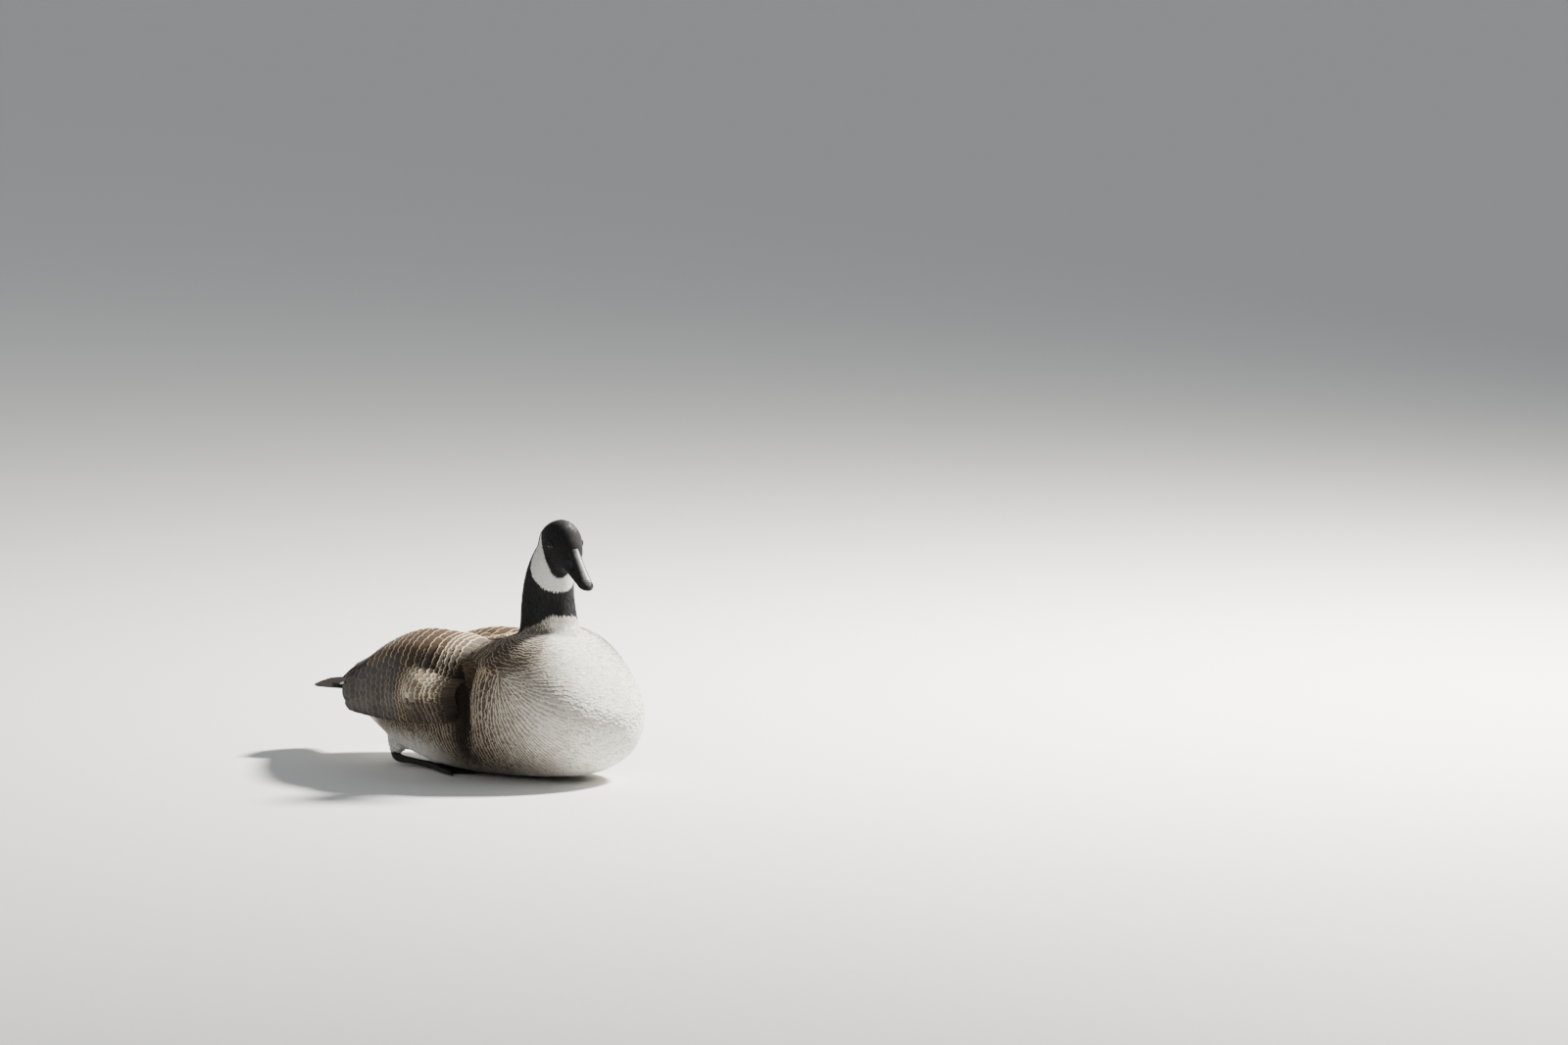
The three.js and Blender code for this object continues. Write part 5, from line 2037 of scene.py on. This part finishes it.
# The leg comes out of the belly, and the foot lies flat under it with its toes forward.
TOE_JOINT = (61, 38, 6)
SHANK = ((51, 120, 52), (54, 116, 30), (58, 108, 11), (60, 74, 8), TOE_JOINT)
SHANK_RADII = (7.0, 6.2, 6.0, 4.4, 4.8)
TOES = (
    (TOE_JOINT, (75, 8, 5), (90, -27, 3.6)),
    (TOE_JOINT, (61, 0, 5), (61, -36, 3.6)),
    (TOE_JOINT, (47, 8, 5), (32, -27, 3.6)),
)
TOE_RADII = (4.2, 3.0, 3.5, 2.7, 3.1, 2.2)
BACK_TOE = ((59, 44, 8), (57, 52, 8), (56, 58, 6))
BACK_TOE_RADII = (2.4, 2.2, 1.5)
# How far each point of a claw lies ahead of the toe's end, and how far it drops
CLAW = ((-1.5, 0), (3, 0), (6, 0.8), (8.5, 2.2))
CLAW_RADII = (1.9, 1.7, 1.2, 0.5)
WEB_THICK = 1.1
LEG_SMOOTHING = 4
SHANK_VOXEL = 0.0009
FOOT_VOXEL = 0.0008


def mirrored(points, side):
    return np.asarray(points, float) * np.array([-side, 1, 1])


def web(first, second, side):
    """Skin between two toes, with a front edge that curves back."""
    def sheet(a, b, level):
        reach = a * (1 - 0.13 * 4 * b * (1 - b))
        place = mix(through(first, reach), through(second, reach), b[:, None])
        place[:, 2] += level + 0.5 * np.sin(a * 9 + b * 5) * np.sin(math.pi * b)
        return mirrored(place, side)

    return plate_grid(
        18, 12, lambda a, b: sheet(a, b, WEB_THICK), lambda a, b: sheet(a, b, -WEB_THICK),
    )


def claw(toe, side):
    root = np.array(toe[2], float)
    way = unit(root - np.array(toe[1], float))
    line = [root + way * along - np.array([0, 0, drop]) for along, drop in CLAW]
    return tube(mirrored(line, side), CLAW_RADII, 10)


for name, side in SIDES.items():
    shank = tube(mirrored(SHANK, side), SHANK_RADII, 20)
    carry(fused(f"shank_{name}", [shank], SHANK_VOXEL), "leg_skin", SCALY, f"leg_{name}")
    marks = np.linspace(0, 1, len(TOE_RADII))
    shapes = [tube(mirrored(through(toe, marks), side), TOE_RADII) for toe in TOES]
    shapes.append(tube(mirrored(BACK_TOE, side), BACK_TOE_RADII))
    shapes += [web(TOES[k], TOES[k + 1], side) for k in (0, 1)]
    carry(fused(f"web_{name}", shapes, FOOT_VOXEL), "leg_skin", SCALY, f"foot_{name}")
    for k, toe in enumerate(TOES):
        nail = outward(mesh_object(f"claw_{name}_{k + 1}", *claw(toe, side)))
        above_floor(nail.data)
        carry(nail, "leg_skin", HORN)

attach(skin, "root")
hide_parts("torso", "neck", "head")
for name, piece in WING_PIECES.items():
    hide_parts(f"wing_{name}")
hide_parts("tail")


# Floor, light and camera

PHOTO_WIDTH = 1600
PHOTO_HEIGHT = 1066
AZIMUTH = math.radians(-47)
ELEVATION = math.radians(7)
PIXELS_PER_MM = 0.74
# A point of the bird and the pixel of the picture that shows it
AIM_POINT = np.array([0.0, 0.0, 80.0])
AIM_PIXEL = (492, 724)
DISTANCE = 15.9
SENSOR = 36.0

# The lights point at this height, in metres.
LIT_HEIGHT = 0.18

RIGHT = np.array([math.cos(AZIMUTH), math.sin(AZIMUTH), 0.0])
BACK = np.array([
    math.sin(AZIMUTH) * math.cos(ELEVATION),
    -math.cos(AZIMUTH) * math.cos(ELEVATION),
    math.sin(ELEVATION),
])
UP = np.cross(BACK, RIGHT)


def make_camera():
    data = bpy.data.cameras.new("camera")
    data.sensor_width = SENSOR
    data.lens = SENSOR * DISTANCE / (PHOTO_WIDTH / PIXELS_PER_MM * MM)
    data.clip_end = 200
    made = placed("camera", data)
    aside = (PHOTO_WIDTH / 2 - AIM_PIXEL[0]) / PIXELS_PER_MM
    above = (AIM_PIXEL[1] - PHOTO_HEIGHT / 2) / PIXELS_PER_MM
    aim = to_frame(AIM_POINT + RIGHT * aside + UP * above)
    turn = Matrix((RIGHT, UP, BACK)).transposed().to_4x4()
    made.matrix_world = Matrix.Translation(Vector(aim + BACK * DISTANCE)) @ turn
    bpy.context.scene.camera = made


def make_floor():
    size = 60.0
    mesh = bpy.data.meshes.new("floor")
    corners = [(-size, -size, 0), (size, -size, 0), (size, size, 0), (-size, size, 0)]
    mesh.from_pydata(corners, [], [(0, 1, 2, 3)])
    floor = placed("floor", mesh)
    material, _, principled = new_material("floor")
    principled.inputs["Base Color"].default_value = (0.82, 0.82, 0.80, 1)
    principled.inputs["Roughness"].default_value = 0.7
    mesh.materials.append(material)


def area_light(name, offset, size, power, tint=(1, 1, 1)):
    """A soft light at an offset, in metres to the picture's right, up and towards the camera."""
    data = bpy.data.lights.new(name, "AREA")
    data.shape = "DISK"
    data.size = size
    data.energy = power
    data.color = tint
    made = placed(name, data)
    middle = Vector((0, 0, LIT_HEIGHT))
    aside, above, nearer = offset
    place = middle + Vector(RIGHT) * aside + Vector((0, 0, 1)) * above + Vector(BACK) * nearer
    turn = (place - middle).to_track_quat("Z", "Y").to_matrix().to_4x4()
    made.matrix_world = Matrix.Translation(place) @ turn


def make_light():
    world = bpy.data.worlds.new("studio")
    world.use_nodes = True
    world.node_tree.nodes["Background"].inputs[0].default_value = (0.93, 0.96, 1.0, 1)
    world.node_tree.nodes["Background"].inputs[1].default_value = 0.33
    bpy.context.scene.world = world
    area_light("key", (2.0, 2.2, -1.1), 0.45, 320, (1.0, 0.97, 0.92))
    area_light("fill", (-1.5, 1.4, 2.4), 2.0, 9)


make_camera()
make_floor()
make_light()
bpy.context.scene.view_settings.view_transform = "AgX"
bpy.context.scene.view_settings.look = "AgX - Medium High Contrast"

bpy.context.view_layer.update()
